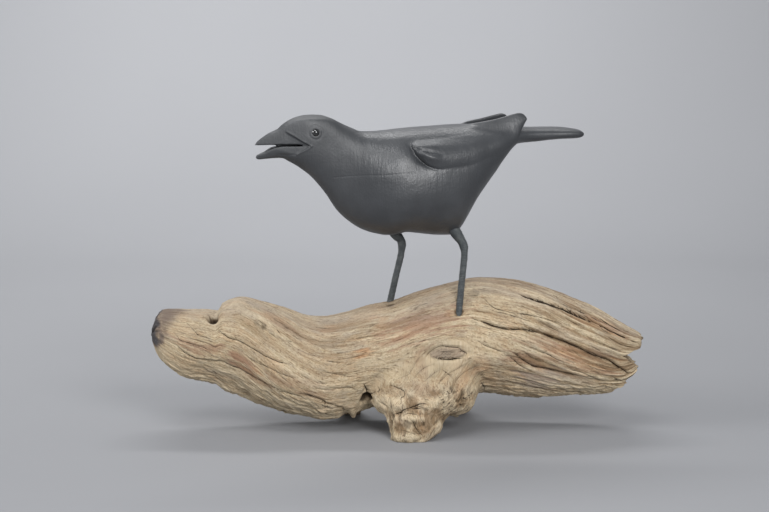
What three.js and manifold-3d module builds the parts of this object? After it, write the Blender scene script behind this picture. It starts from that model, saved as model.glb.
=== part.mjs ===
// A life-size crow decoy on a driftwood base, in millimetres, +Z up.
// The crow is carved from wood in one piece: open bill, folded wings whose tips stand clear of the rump, and a
// flat tail. It has two glass eyes and stands on two bent iron rods wrapped with cord, each let into a drilled hole.
// The base is one weathered piece: a long log with a gnarled root in front and two stubs behind that it stands on.
// The origin is under the middle of the whole piece, with X along the log, and the crow faces -X.
import * as THREE from "three";
import * as BufferGeometryUtils from "three/addons/utils/BufferGeometryUtils.js";
import Module from "manifold-3d";

const wasm = await Module();
wasm.setup();

// Driving dimensions.
const CROW_TURN_DEG = 19; // the head end is turned towards the front, -Y
const CROW_PLACE = [39, 2, 236]; // where the crow's own origin stands over the log
const EYE_RADIUS = 5.2;
const EYE_AT = [-148.4, 17.9, 129.1]; // for the right eye; the left one mirrors it
const ROD_RADIUS = 4.2; // rod with its wrapping
const FIT_GAP = 0.3; // clearance between pieces that touch
const HOLE_DEPTH = 18; // how far a rod goes down into the log
const TABLE = 0; // the log's feet are cut flat at this height

const radians = THREE.MathUtils.degToRad;
const lerp = THREE.MathUtils.lerp;
const smoothstep = THREE.MathUtils.smoothstep;

// A smooth curve through the rows of a table, without overshoot: returns a function of the first column
// that gives the other columns.
function through(rows) {
  const xs = rows.map((r) => r[0]);
  const slopeAt = (i, c) => {
    if (i === 0 || i === rows.length - 1) {
      return 0;
    }
    const before = (rows[i][c] - rows[i - 1][c]) / (xs[i] - xs[i - 1]);
    const after = (rows[i + 1][c] - rows[i][c]) / (xs[i + 1] - xs[i]);
    return before * after <= 0 ? 0 : (2 * before * after) / (before + after);
  };
  return (x) => {
    const inside = THREE.MathUtils.clamp(x, xs[0], xs[xs.length - 1]);
    let i = 0;
    while (i < xs.length - 2 && inside > xs[i + 1]) {
      i += 1;
    }
    const h = xs[i + 1] - xs[i];
    const t = (inside - xs[i]) / h;
    return rows[i].slice(1).map((_, k) => {
      const c = k + 1;
      const a = rows[i][c];
      const b = rows[i + 1][c];
      const ma = slopeAt(i, c) * h;
      const mb = slopeAt(i + 1, c) * h;
      const t2 = t * t;
      const t3 = t2 * t;
      return (2 * t3 - 3 * t2 + 1) * a + (t3 - 2 * t2 + t) * ma + (3 * t2 - 2 * t3) * b + (t3 - t2) * mb;
    });
  };
}

// Places along a length, each a step further than the last, where the step itself depends on the place.
function places(from, to, stepAt) {
  const out = [from];
  while (out[out.length - 1] + stepAt(out[out.length - 1]) * 1.4 < to) {
    const last = out[out.length - 1];
    out.push(last + stepAt(last));
  }
  out.push(to);
  return out;
}

function solidFrom(coordinates, triangles) {
  const mesh = new wasm.Mesh({
    numProp: 3,
    vertProperties: new Float32Array(coordinates),
    triVerts: new Uint32Array(triangles),
  });
  return new wasm.Manifold(mesh);
}

// One of three.js's own closed shapes as a solid.
function solidOf(geometry) {
  const bare = geometry.clone();
  bare.deleteAttribute("normal");
  bare.deleteAttribute("uv");
  const merged = BufferGeometryUtils.mergeVertices(bare, 1e-4);
  return solidFrom(merged.getAttribute("position").array, merged.getIndex().array);
}

// A closed skin over rings of points that all have the same count, with a pole at each end. Each four-sided patch
// is split along its shorter diagonal.
function skin(rings, firstPole, lastPole) {
  const count = rings[0].length;
  const vertices = [firstPole, ...rings.flat(), lastPole];
  const index = [];
  const at = (r, k) => 1 + r * count + (k % count);
  for (let k = 0; k < count; k += 1) {
    index.push(0, at(0, k), at(0, k + 1));
    index.push(vertices.length - 1, at(rings.length - 1, k + 1), at(rings.length - 1, k));
  }
  for (let r = 0; r < rings.length - 1; r += 1) {
    for (let k = 0; k < count; k += 1) {
      const [a, b, c, d] = [at(r, k), at(r + 1, k), at(r + 1, k + 1), at(r, k + 1)];
      const length = (i, j) => Math.hypot(...vertices[i].map((value, axis) => value - vertices[j][axis]));
      if (length(a, c) <= length(b, d)) {
        index.push(a, b, c, a, c, d);
      } else {
        index.push(a, b, d, b, c, d);
      }
    }
  }
  const made = solidFrom(vertices.flat(), index);
  return made.volume() > 0 ? made : solidFrom(vertices.flat(), index.reverse());
}

const middle = (ring) => [0, 1, 2].map((c) => ring.reduce((sum, p) => sum + p[c], 0) / ring.length);

// The faces of a finished solid as a three.js geometry.
function geometryOf(solid) {
  const mesh = solid.getMesh();
  const positions = new Float32Array(mesh.numVert * 3);
  for (let i = 0; i < mesh.numVert; i += 1) {
    for (let c = 0; c < 3; c += 1) {
      positions[i * 3 + c] = mesh.vertProperties[i * mesh.numProp + c];
    }
  }
  const geometry = new THREE.BufferGeometry();
  geometry.setAttribute("position", new THREE.BufferAttribute(positions, 3));
  geometry.setIndex(new THREE.BufferAttribute(new Uint32Array(mesh.triVerts), 1));
  const flat = geometry.toNonIndexed();
  flat.computeVertexNormals();
  return flat;
}

// An outline in the XZ plane pushed through a span of Y that may change along X, as a saw or a chisel cuts.
function cutter(outline, yFrom, yTo) {
  const shape = new THREE.Shape(outline.map(([x, z]) => new THREE.Vector2(x, z)));
  const pushed = new THREE.ExtrudeGeometry(shape, { depth: 1, bevelEnabled: false });
  const position = pushed.getAttribute("position");
  for (let i = 0; i < position.count; i += 1) {
    const x = position.getX(i);
    const z = position.getY(i);
    position.setXYZ(i, x, lerp(yTo(x), yFrom(x), position.getZ(i)), z);
  }
  return solidOf(pushed);
}

const ball = (radius, centre) => solidOf(new THREE.SphereGeometry(radius, 14, 9)).translate(centre);

const mirrored = (solid) => solid.mirror([0, 1, 0]);

const signedPower = (value, power) => Math.sign(value) * Math.abs(value) ** power;

// The crow's body, bill to tail, in its own frame: X runs from bill to tail, Z is up from the belly.
// Each row is x, back, belly, half width, level of the widest point, squareness above it and below it.
const CROW_STATIONS = [
  [-217, 114.8, 98.6, 1.5, 112, 2.4, 2.2],
  [-212, 120.0, 98.1, 3.4, 113, 2.4, 2.2],
  [-200, 128.2, 98.9, 7.0, 114, 2.4, 2.2],
  [-188, 133.8, 99.4, 10.6, 114, 2.5, 2.2],
  [-182, 138.6, 98.6, 12.6, 114, 2.6, 2.2],
  [-174, 143.3, 94.4, 15.5, 114, 2.7, 2.2],
  [-166, 146.7, 89.8, 18.0, 115, 2.8, 2.2],
  [-157, 148.6, 83.5, 20.3, 116, 2.8, 2.2],
  [-149, 149.0, 77.2, 21.6, 116, 2.7, 2.2],
  [-137, 148.3, 64.2, 22.8, 114, 2.5, 2.2],
  [-127, 145.2, 51.0, 24.0, 108, 2.4, 2.2],
  [-115, 139.3, 34.0, 26.8, 94, 2.3, 2.2],
  [-100, 132.5, 20.4, 33.2, 82, 2.25, 2.2],
  [-87, 127.9, 12.6, 40.2, 74, 2.2, 2.2],
  [-71, 127.5, 6.8, 47.6, 69, 2.15, 2.2],
  [-57, 128.3, 4.0, 52.6, 67, 2.15, 2.2],
  [-45, 129.3, 5.2, 55.4, 66, 2.15, 2.2],
  [-34, 130.0, 6.6, 56.6, 66, 2.15, 2.2],
  [-20, 130.9, 5.0, 57.0, 67, 2.15, 2.2],
  [-6, 131.6, 2.9, 56.6, 68, 2.15, 2.2],
  [10, 132.4, 1.2, 55.4, 71, 2.15, 2.2],
  [22, 132.8, 1.0, 54.0, 75, 2.15, 2.2],
  [30, 133.1, 5.0, 52.8, 78, 2.15, 2.1],
  [38, 133.3, 16.5, 51.2, 83, 2.15, 2.0],
  [51, 133.0, 39.0, 47.6, 91, 2.2, 2.0],
  [63, 132.3, 55.5, 44.0, 98, 2.2, 2.0],
  [75, 131.2, 71.5, 39.8, 104, 2.25, 2.0],
  [87, 131.1, 88.0, 34.9, 110, 2.3, 2.0],
  [97, 130.2, 101.0, 30.6, 114, 2.3, 2.1],
  [106, 129.2, 107.6, 26.8, 117.5, 2.3, 2.3],
  [115, 128.4, 109.0, 24.4, 118.5, 2.3, 2.5],
  [130, 127.6, 110.2, 22.8, 119, 2.3, 2.8],
  [150, 127.2, 111.4, 22.6, 119, 2.3, 2.8],
  [170, 126.4, 112.6, 23.6, 119, 2.4, 2.8],
  [182, 124.8, 112.9, 23.4, 118.8, 2.6, 2.8],
  [190, 123.2, 113.6, 20.5, 118.4, 2.7, 2.8],
  [194, 121.2, 114.8, 15.0, 118, 2.8, 2.8],
];
const crowAt = through(CROW_STATIONS);

// The hollow carved in front of the wing's shoulder: centre in x and z, reach and depth.
const SHOULDER_HOLLOW = { x: -43, z: 98, reachX: 15, reachZ: 22, depth: 3.2 };

function crowPoint(x, turn) {
  const [back, belly, half, widest, above, below] = crowAt(x);
  const c = Math.cos(turn);
  const s = Math.sin(turn);
  const power = 2 / (s > 0 ? above : below);
  const reach = s > 0 ? back - widest : widest - belly;
  const z = widest + reach * signedPower(s, power);
  const y = half * signedPower(c, power);
  const dx = (x - SHOULDER_HOLLOW.x) / SHOULDER_HOLLOW.reachX;
  const dz = (z - SHOULDER_HOLLOW.z) / SHOULDER_HOLLOW.reachZ;
  const hollow = SHOULDER_HOLLOW.depth * Math.exp(-(dx * dx + dz * dz));
  return [x, y - Math.sign(c) * hollow * Math.abs(c), z];
}

// Half the body's width at a height, for laying the wing on it.
function crowHalfWidth(x, z) {
  const [back, belly, half, widest, above, below] = crowAt(x);
  const share = z > widest ? (z - widest) / (back - widest) : (widest - z) / (widest - belly);
  const power = z > widest ? above : below;
  return share >= 1 ? 0 : half * (1 - share ** power) ** (1 / power);
}

function crowBody() {
  const stepAt = (x) => (x < -120 ? 7 : x < 20 ? 13 : x < 45 ? 8 : x < 108 ? 11 : x < 176 ? 16 : 6);
  const around = 26;
  const rings = places(-217, 194, stepAt).map((x) => {
    const ring = [];
    for (let k = 0; k < around; k += 1) {
      ring.push(crowPoint(x, (2 * Math.PI * (k + 0.5)) / around));
    }
    return ring;
  });
  return skin(rings, middle(rings[0]), middle(rings[rings.length - 1]));
}

// The right wing, folded. Each row is x, upper edge, lower edge, how far it stands out from the body, then
// where it stands free of the body: its distance from the middle at its upper edge and at its lower edge, and its
// thickness.
const WING_STATIONS = [
  [-43, 115, 108, 0.6, 20, 40, 12],
  [-40, 119, 102, 4.0, 20, 40, 14],
  [-34, 122, 95, 6.2, 20, 40, 16],
  [-24, 124, 89.5, 6.4, 20, 40, 16],
  [-6, 126, 86.6, 5.4, 20, 41, 16],
  [18, 129, 86.6, 4.2, 21, 42, 16],
  [42, 133.4, 88.6, 3.4, 23, 42, 13],
  [60, 137.0, 91.8, 2.8, 24, 40, 10],
  [75, 139.8, 96.6, 2.2, 24.5, 37, 8],
  [88, 142.9, 103.6, 1.6, 24.5, 33.5, 6.5],
  [98, 145.3, 113.5, 1.2, 24.5, 30.5, 6],
  [105, 146.4, 124.0, 1.0, 24, 28, 5.5],
  [111, 144.8, 133.0, 1.0, 23.5, 26, 5],
  [114, 141.4, 137.6, 1.0, 23.5, 24.8, 3.5],
];
const wingAt = through(WING_STATIONS);
const RIGHT_WING_SHORT = 7; // the right wing ends this much before the left one
const RIGHT_WING_LOW = 2.8; // and its tip is this much lower

const smoothMax = (a, b, soft) => 0.5 * (a + b + Math.hypot(a - b, soft));

function wingPoint(x, turn) {
  const [upper, lower, proud, nearMiddle, farOut, thick] = wingAt(x);
  const share = 0.5 - 0.5 * signedPower(Math.cos(turn), 0.7);
  const z = lerp(upper, lower, share);
  const onBody = crowHalfWidth(x, z) + proud * smoothstep(share, 0.05, 0.6);
  const free = lerp(nearMiddle, farOut, share) + 8 * share * (1 - share);
  const outer = lerp(onBody, smoothMax(onBody, free, 3) - 0.6, smoothstep(x, 20, 60));
  const across = 0.5 * thick * (signedPower(Math.sin(turn), 0.5) - 1);
  return [x, outer + across, z];
}

function wing(short, low) {
  const stepAt = (x) => (x < -30 ? 4 : x < 80 ? 12 : 6);
  const around = 16;
  const rings = places(-43, 114, stepAt).map((x) => {
    const ring = [];
    for (let k = 0; k < around; k += 1) {
      const [px, py, pz] = wingPoint(x, (2 * Math.PI * (k + 0.5)) / around);
      const towardsTip = smoothstep(px, 20, 114);
      ring.push([px - short * towardsTip, py, pz - low * towardsTip]);
    }
    return ring;
  });
  return skin(rings, middle(rings[0]), middle(rings[rings.length - 1]));
}

// The open mouth from the side: the upper bill's edge, the corner of the mouth, then the lower bill's edge.
const GAPE = [-150, 112.6];
const MOUTH = [
  [-226, 114.4],
  [-206, 114.0],
  [-193, 114.6],
  [-175, 116.0],
  [-162, 115.0],
  GAPE,
  [-162, 112.6],
  [-175, 112.9],
  [-186, 112.2],
  [-198, 109.3],
  [-206, 106.0],
  [-213.6, 100.4],
  [-226, 97],
];

// The bill's side is cut flat up to a V that points back at the corner of the mouth.
const BILL_SIDE = [
  [-230, 165],
  [-185, 165],
  [-184, 139],
  [-178.4, 127.7],
  GAPE,
  [-165.6, 102.5],
  [-175, 84],
  [-230, 84],
];
const BILL_TIP = { x: -217, half: 1.6 };
const BILL_BACK = { x: -150, half: 19.8 };

function billHalf(x) {
  return lerp(BILL_TIP.half, BILL_BACK.half, (x - BILL_TIP.x) / (BILL_BACK.x - BILL_TIP.x));
}

function crow() {
  const rightWing = wing(RIGHT_WING_SHORT, RIGHT_WING_LOW);
  const leftWing = mirrored(wing(0, 0));
  const mouth = cutter(MOUTH, () => -60, () => 60);
  const rightSide = cutter(BILL_SIDE, (x) => Math.max(billHalf(x), 0.4), () => 60);
  const rightSocket = ball(EYE_RADIUS + FIT_GAP, EYE_AT);
  let made = crowBody().add(rightWing).add(leftWing);
  for (const tool of [mouth, rightSide, mirrored(rightSide), rightSocket, mirrored(rightSocket)]) {
    made = made.subtract(tool);
  }
  return made;
}

// A rod leg in the frame of the log, wrapped thick where it leaves the body. Each row is how far down the leg
// the point lies, its place and its radius.
const LEG_ROUTES = {
  left_leg: [
    [0, 62.5, -13.5, 252, 7.6],
    [1, 70.2, -14.5, 240.6, 7.0],
    [2, 76.6, -17, 231.2, 5.4],
    [3, 78.8, -18.8, 225.6, 5.4],
    [4, 79.4, -20.3, 217.5, ROD_RADIUS],
    [5, 75.9, -24, 181, ROD_RADIUS],
    [6, 73.0, -27.2, 147.5, ROD_RADIUS],
  ],
  right_leg: [
    [0, -9.5, 13, 247, 7.4],
    [1, -1.6, 15, 235.6, 6.6],
    [2, 4.2, 17.2, 228.6, 5.2],
    [3, 5.6, 18.8, 222.4, 5.3],
    [4, 4.8, 20, 213.4, ROD_RADIUS],
    [5, -2.6, 23.4, 180, ROD_RADIUS],
    [6, -9.2, 26.5, 149.5, ROD_RADIUS],
  ],
};

// The leg's solid, thicker by grow where it is used to cut its own hole.
function leg(route, grow) {
  const at = through(route);
  const around = 10;
  const last = route[route.length - 1];
  const before = route[route.length - 2];
  const down = new THREE.Vector3(last[1] - before[1], last[2] - before[2], last[3] - before[3]).normalize();
  const stops = places(0, route.length - 1, (t) => (t < 4 ? 0.4 : 1)).map((t) => at(t));
  stops.push([
    last[1] + down.x * (HOLE_DEPTH + grow),
    last[2] + down.y * (HOLE_DEPTH + grow),
    last[3] + down.z * (HOLE_DEPTH + grow),
    ROD_RADIUS,
  ]);
  const rings = stops.map(([x, y, z, radius], i) => {
    const a = stops[Math.max(i - 1, 0)];
    const b = stops[Math.min(i + 1, stops.length - 1)];
    const along = new THREE.Vector3(b[0] - a[0], b[1] - a[1], b[2] - a[2]).normalize();
    const across = new THREE.Vector3(0, 1, 0).cross(along).normalize();
    const aside = along.clone().cross(across);
    const ring = [];
    for (let k = 0; k < around; k += 1) {
      const turn = (2 * Math.PI * k) / around;
      const c = (radius + grow) * Math.cos(turn);
      const s = (radius + grow) * Math.sin(turn);
      const spot = new THREE.Vector3(x, y, z).addScaledVector(across, c).addScaledVector(aside, s);
      ring.push(spot.toArray());
    }
    return ring;
  });
  return skin(rings, middle(rings[0]), middle(rings[rings.length - 1]));
}

// The log, left end to right end, in its own frame over the table. Each row is x, top, underside,
// y of its middle, half depth, squareness.
const LOG_STATIONS = [
  [-295, 124, 108, 4, 12, 2.2],
  [-292, 133, 100, 4, 20, 2.3],
  [-288, 141, 93, 4, 27, 2.4],
  [-281, 145, 83, 4, 32, 2.4],
  [-267, 145.3, 71.5, 5, 37, 2.4],
  [-253, 145, 63, 5, 40, 2.4],
  [-231, 145, 58.5, 6, 43, 2.3],
  [-217, 143.5, 55, 6, 45, 2.3],
  [-211, 153, 49.5, 6, 46, 2.3],
  [-200, 158.5, 44, 6, 47, 2.2],
  [-189, 161, 41, 6, 48, 2.2],
  [-166, 156, 31, 7, 50, 2.2],
  [-137, 147, 20.5, 8, 53, 2.2],
  [-108, 137, 15.5, 10, 55, 2.2],
  [-90, 135.5, 10.5, 11, 56, 2.2],
  [-64, 140, 15.5, 13, 57, 2.2],
  [-35, 149, 23.5, 15, 58, 2.2],
  [-6, 154.5, 29, 17, 59, 2.2],
  [23, 165, 35, 18, 61, 2.2],
  [60, 175, 40, 19, 63, 2.2],
  [100, 182.5, 42, 20, 63, 2.2],
  [140, 180.5, 39, 18, 60, 2.2],
  [170, 174, 38, 16, 56, 2.2],
  [213, 158.5, 40.5, 13, 49, 2.2],
  [242, 146, 42, 10, 42, 2.2],
  [266, 132, 45, 8, 34, 2.2],
  [282, 123, 56, 7, 28, 2.3],
  [292, 117.5, 70, 6, 22, 2.4],
  [297, 112, 78, 6, 16, 2.4],
];
const logAt = through(LOG_STATIONS);

// Where roots leave the log. at is x and the turn round the log, 0 at the front and 90 on top; reach is how
// far that place spreads in mm along the log and in degrees round it. Each row of the spine is the share of the
// way out, the middle of the root there, and its half width along the log and across it.
const ROOTS = [
  {
    at: [29, -46],
    reach: [79, 54],
    flat: 0.3,
    dome: 5,
    spine: [
      [0, 32, -12, 60, 80, 38],
      [0.3, 31, -27, 46, 69, 32],
      [0.55, 31, -40, 35, 53, 27],
      [0.68, 26, -46, 27, 39, 24],
      [0.8, 21, -50, 18, 32, 22],
      [0.92, 19.5, -54, 8, 28, 19],
      [1, 16.5, -57, -2, 22, 15],
    ],
  },
  {
    at: [-59, 226],
    reach: [34, 34],
    flat: 0.36,
    dome: 4,
    spine: [
      [0, -60, 44, 44, 30, 30],
      [0.5, -59, 64, 26, 20, 20],
      [1, -58, 80, -2, 12, 12],
    ],
  },
  {
    at: [79, 228],
    reach: [36, 34],
    flat: 0.36,
    dome: 4,
    spine: [
      [0, 80, 50, 60, 34, 34],
      [0.5, 76, 76, 34, 20, 20],
      [1, 74, 94, -2, 13, 13],
    ],
  },
];

function rootPoint(root, share) {
  const at = through(root.spine);
  const [x, y, z, halfAlong, halfAcross] = at(share);
  const ahead = at(Math.min(share + 0.05, 1));
  const behind = at(Math.max(share - 0.05, 0));
  const out = new THREE.Vector3(0, ahead[1] - behind[1], ahead[2] - behind[2]).normalize();
  const across = new THREE.Vector3(1, 0, 0);
  const up = out.clone().cross(across);
  return { centre: new THREE.Vector3(x, y, z), out, across, up, halfAlong, halfAcross };
}

// Draws the skin of the log out along a root, as a potter pulls a spout.
function pulled(point, x, degrees, root) {
  const dx = (x - root.at[0]) / root.reach[0];
  const turn = THREE.MathUtils.euclideanModulo(degrees - root.at[1] + 180, 360) - 180;
  const dt = turn / root.reach[1];
  const far = Math.hypot(dx, dt);
  if (far >= 1) {
    return point;
  }
  const share = THREE.MathUtils.clamp((1 - far) / (1 - root.flat), 0, 1);
  const { centre, out, across, up, halfAlong, halfAcross } = rootPoint(root, share);
  const within = Math.min(far / root.flat, 1);
  const side = far > 0 ? [dx / far, dt / far] : [0, 0];
  const made = centre
    .addScaledVector(across, side[0] * halfAlong * within)
    .addScaledVector(up, side[1] * halfAcross * within)
    .addScaledVector(out, root.dome * (1 - within * within));
  const blend = smoothstep(share, 0, 0.5);
  return point.map((value, c) => lerp(value, made.getComponent(c), blend));
}

function logPoint(x, degrees) {
  const [top, under, y, depth, square] = logAt(x);
  const turn = radians(degrees);
  const power = 2 / square;
  const swell = 2.4 * Math.sin(x / 31 + 2 * turn);
  const wave = 1.8 * Math.sin(x / 19 - 3 * turn + 1);
  const ripple = 1.2 * Math.sin(5 * turn + x / 47);
  const lump = swell + wave + ripple;
  const half = 0.5 * (top - under);
  const scale = 1 + (lump * Math.cos(turn) ** 2 * smoothstep(half, 18, 40)) / half;
  let point = [
    x,
    y - depth * scale * signedPower(Math.cos(turn), power),
    0.5 * (top + under) + half * scale * signedPower(Math.sin(turn), power),
  ];
  for (const root of ROOTS) {
    point = pulled(point, x, degrees, root);
  }
  return point;
}

// Points round the log, closer together where the roots leave it.
function turnsFrom(from, to, count) {
  return Array.from({ length: count }, (_, k) => from + ((to - from) * k) / count);
}
const LOG_TURNS = [...turnsFrom(-100, 10, 30), ...turnsFrom(10, 190, 16), ...turnsFrom(190, 260, 12)];

function log() {
  const stepAt = (x) => (Math.abs(x + 214) < 9 || x < -275 || x > 262 ? 4.5 : x > -54 && x < 110 ? 3.5 : 9);
  const rings = places(-295, 297, stepAt).map((x) => LOG_TURNS.map((degrees) => logPoint(x, degrees)));
  return skin(rings, middle(rings[0]), middle(rings[rings.length - 1]));
}

// What weather has taken from the log.
const END_NOTCH = [
  [271, 94.5],
  [283, 100],
  [310, 106],
  [310, 79],
  [289, 80],
  [279, 87],
];

function driftwood() {
  const below = cutter(
    [
      [-400, TABLE],
      [400, TABLE],
      [400, -90],
      [-400, -90],
    ],
    () => -300,
    () => 300,
  );
  let made = log().simplify(0.7).subtract(below);
  made = made.subtract(cutter(END_NOTCH, () => -80, () => 80));
  for (const route of Object.values(LEG_ROUTES)) {
    made = made.subtract(leg(route, FIT_GAP));
  }
  return made;
}

// Materials, as they look from a step away.
const blackPaint = new THREE.MeshStandardMaterial({ color: 0x3b3c40, roughness: 0.5, metalness: 0 });
const glass = new THREE.MeshStandardMaterial({ color: 0x0b0b0c, roughness: 0.05, metalness: 0 });
const wrapping = new THREE.MeshStandardMaterial({ color: 0x42464a, roughness: 0.7, metalness: 0 });
const weathered = new THREE.MeshStandardMaterial({ color: 0xa08c6e, roughness: 0.85, metalness: 0 });

function piece(name, solid, material) {
  const mesh = new THREE.Mesh(geometryOf(solid), material);
  mesh.name = name;
  return mesh;
}

// The crow stands turned over the log, so its solids are made in its own frame and its group carries the turn.
const bird = new THREE.Group();
bird.position.set(...CROW_PLACE);
bird.rotation.z = radians(CROW_TURN_DEG);

const placed = (solid) => solid.rotate([0, 0, CROW_TURN_DEG]).translate(CROW_PLACE);
const unplaced = (solid) => solid.translate(CROW_PLACE.map((v) => -v)).rotate([0, 0, -CROW_TURN_DEG]);

let carving = crow();
for (const route of Object.values(LEG_ROUTES)) {
  carving = carving.subtract(unplaced(leg(route, FIT_GAP)));
}
bird.add(piece("crow_body", carving, blackPaint));
bird.add(piece("right_eye", ball(EYE_RADIUS, EYE_AT), glass));
bird.add(piece("left_eye", mirrored(ball(EYE_RADIUS, EYE_AT)), glass));

const decoy = new THREE.Group();
decoy.add(bird);
for (const [name, route] of Object.entries(LEG_ROUTES)) {
  decoy.add(piece(name, leg(route, 0), wrapping));
}
decoy.add(piece("driftwood_base", driftwood(), weathered));

// The origin moves to the middle of the box that the whole piece fills, at its underside.
const box = new THREE.Box3().setFromObject(decoy, true);
decoy.position.set(-0.5 * (box.min.x + box.max.x), -0.5 * (box.min.y + box.max.y), -box.min.z);

const part = new THREE.Group();
part.add(decoy);
export default part;
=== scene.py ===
"""Looks of a carved crow decoy that stands on a driftwood base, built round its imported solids."""

import math

import bmesh
import bpy
import numpy as np
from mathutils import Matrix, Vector


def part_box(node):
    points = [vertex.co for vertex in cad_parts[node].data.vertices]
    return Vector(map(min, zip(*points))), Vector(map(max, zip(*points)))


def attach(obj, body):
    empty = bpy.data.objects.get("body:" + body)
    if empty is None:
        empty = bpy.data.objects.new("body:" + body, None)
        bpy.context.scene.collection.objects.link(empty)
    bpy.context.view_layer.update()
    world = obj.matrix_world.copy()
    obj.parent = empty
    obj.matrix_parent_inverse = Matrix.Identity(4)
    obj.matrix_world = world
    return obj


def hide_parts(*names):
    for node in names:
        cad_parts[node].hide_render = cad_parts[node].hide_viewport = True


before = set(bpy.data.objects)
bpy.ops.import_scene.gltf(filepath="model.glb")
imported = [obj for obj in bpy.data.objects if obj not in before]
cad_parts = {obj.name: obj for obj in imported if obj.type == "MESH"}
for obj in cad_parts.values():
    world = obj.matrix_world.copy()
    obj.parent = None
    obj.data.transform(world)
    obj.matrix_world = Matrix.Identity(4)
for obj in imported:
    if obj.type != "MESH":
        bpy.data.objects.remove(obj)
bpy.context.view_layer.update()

# ---- Where the crow stands ----
# The crow's own frame has X from bill to tail and Z up from the belly. Its two glass eyes lie level with each
# other, one on each side, so their middles give the crow's turn and place over the log.
EYE_ALONG = -148.4  # mm from the crow's own origin
EYE_UP = 129.1
LOG_TO_CROW = np.array([39.0, 2.0, 236.0])  # mm from the log's own origin to the crow's


def middle_of(node):
    """The middle of a node's box, in mm."""
    low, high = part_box(node)
    return 500.0 * np.array(low + high)


left_eye_middle = middle_of("left_eye")
right_eye_middle = middle_of("right_eye")
crow_aside = right_eye_middle - left_eye_middle
crow_aside[2] = 0.0
crow_aside /= np.linalg.norm(crow_aside)
crow_ahead = np.array([crow_aside[1], -crow_aside[0], 0.0])
crow_up = np.array([0.0, 0.0, 1.0])
crow_turn = np.stack([crow_ahead, crow_aside, crow_up])  # rows: the crow's own axes
crow_origin = 0.5 * (left_eye_middle + right_eye_middle) - EYE_ALONG * crow_ahead - EYE_UP * crow_up
log_origin = crow_origin - LOG_TO_CROW

# ---- Studio ----
# A sheet of pale grey card that runs level under the base and sweeps up behind it, lit by soft boxes. The
# camera looks down a little, from about two metres away.
CARD_COLOUR = "#8C8D90"
CARD_FRONT = -2.6  # m
CARD_BEND = 1.3
CARD_RADIUS = 0.9
CARD_TOP = 2.8
CARD_HALF = 3.4
CAMERA_AT = (-0.0156, -2.0769, 0.5222)  # m from the log's own origin
CAMERA_DOWN_DEG = 8.5
CAMERA_LENS = 81.92


def linear(code):
    """An sRGB hex colour as linear red, green, blue and full alpha."""
    parts = [int(code[i : i + 2], 16) / 255 for i in (1, 3, 5)]
    return (*(c / 12.92 if c <= 0.04045 else ((c + 0.055) / 1.055) ** 2.4 for c in parts), 1.0)


def add(tree, kind, inputs=None, **settings):
    """Adds a node with its links and settings, and gives back its outputs.

    Inputs go by name or number. Each is a value, an output, a node's outputs (the first is meant) or a list
    of those. The setting named stops is a ramp's places and colours.
    """
    made = tree.nodes.new(kind)
    for name, value in settings.items():
        if name == "stops":
            ramp = made.color_ramp
            while len(ramp.elements) < len(value):
                ramp.elements.new(0.5)
            for element, (place, shade) in zip(ramp.elements, value):
                element.position = place
                element.color = linear(shade)
        else:
            setattr(made, name, value)
    for name, given in (inputs or {}).items():
        for value in given if isinstance(given, list) else [given]:
            if isinstance(value, bpy.types.bpy_prop_collection):
                value = value[0]
            if isinstance(value, bpy.types.NodeSocket):
                tree.links.new(value, made.inputs[name])
            else:
                made.inputs[name].default_value = value
    return made.outputs


def new_material(name):
    """A material and its empty tree."""
    made = bpy.data.materials.new(name)
    made.use_nodes = True
    made.node_tree.nodes.clear()
    return made, made.node_tree


def mesh_piece(name, points_mm, faces, material):
    """A smooth-shaded mesh from points in mm and a list or array of faces."""
    mesh = bpy.data.meshes.new(name)
    mesh.from_pydata((np.asarray(points_mm) / 1000).tolist(), [], list(faces))
    mesh.validate()
    mesh.update()
    mesh.shade_smooth()
    mesh.materials.append(material)
    made = bpy.data.objects.new(name, mesh)
    bpy.context.scene.collection.objects.link(made)
    return made


card_material, card_tree = new_material("matte_grey_card")
card_spots = add(card_tree, "ShaderNodeTexCoord")
card_cloud = add(
    card_tree, "ShaderNodeTexNoise", {"Vector": card_spots["Object"], "Scale": 1.3, "Detail": 2.0}
)
card_shade = add(
    card_tree, "ShaderNodeValToRGB", {"Fac": card_cloud}, stops=[(0.3, "#898A8D"), (0.7, CARD_COLOUR)]
)
card_face = add(card_tree, "ShaderNodeBsdfPrincipled", {"Base Color": card_shade, "Roughness": 0.75})
add(card_tree, "ShaderNodeOutputMaterial", {"Surface": card_face})

card_path = [(CARD_FRONT, 0.0), (CARD_BEND, 0.0)]
for step in range(1, 25):
    turn = math.radians(90 * step / 24)
    card_path.append((CARD_BEND + CARD_RADIUS * math.sin(turn), CARD_RADIUS * (1 - math.cos(turn))))
card_path.append((CARD_BEND + CARD_RADIUS, CARD_TOP))
card_points = [(1000 * x, 1000 * y, 1000 * z) for y, z in card_path for x in (-CARD_HALF, CARD_HALF)]
card_faces = [(2 * i, 2 * i + 1, 2 * i + 3, 2 * i + 2) for i in range(len(card_path) - 1)]
card = mesh_piece("grey_card", card_points, card_faces, card_material)

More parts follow.
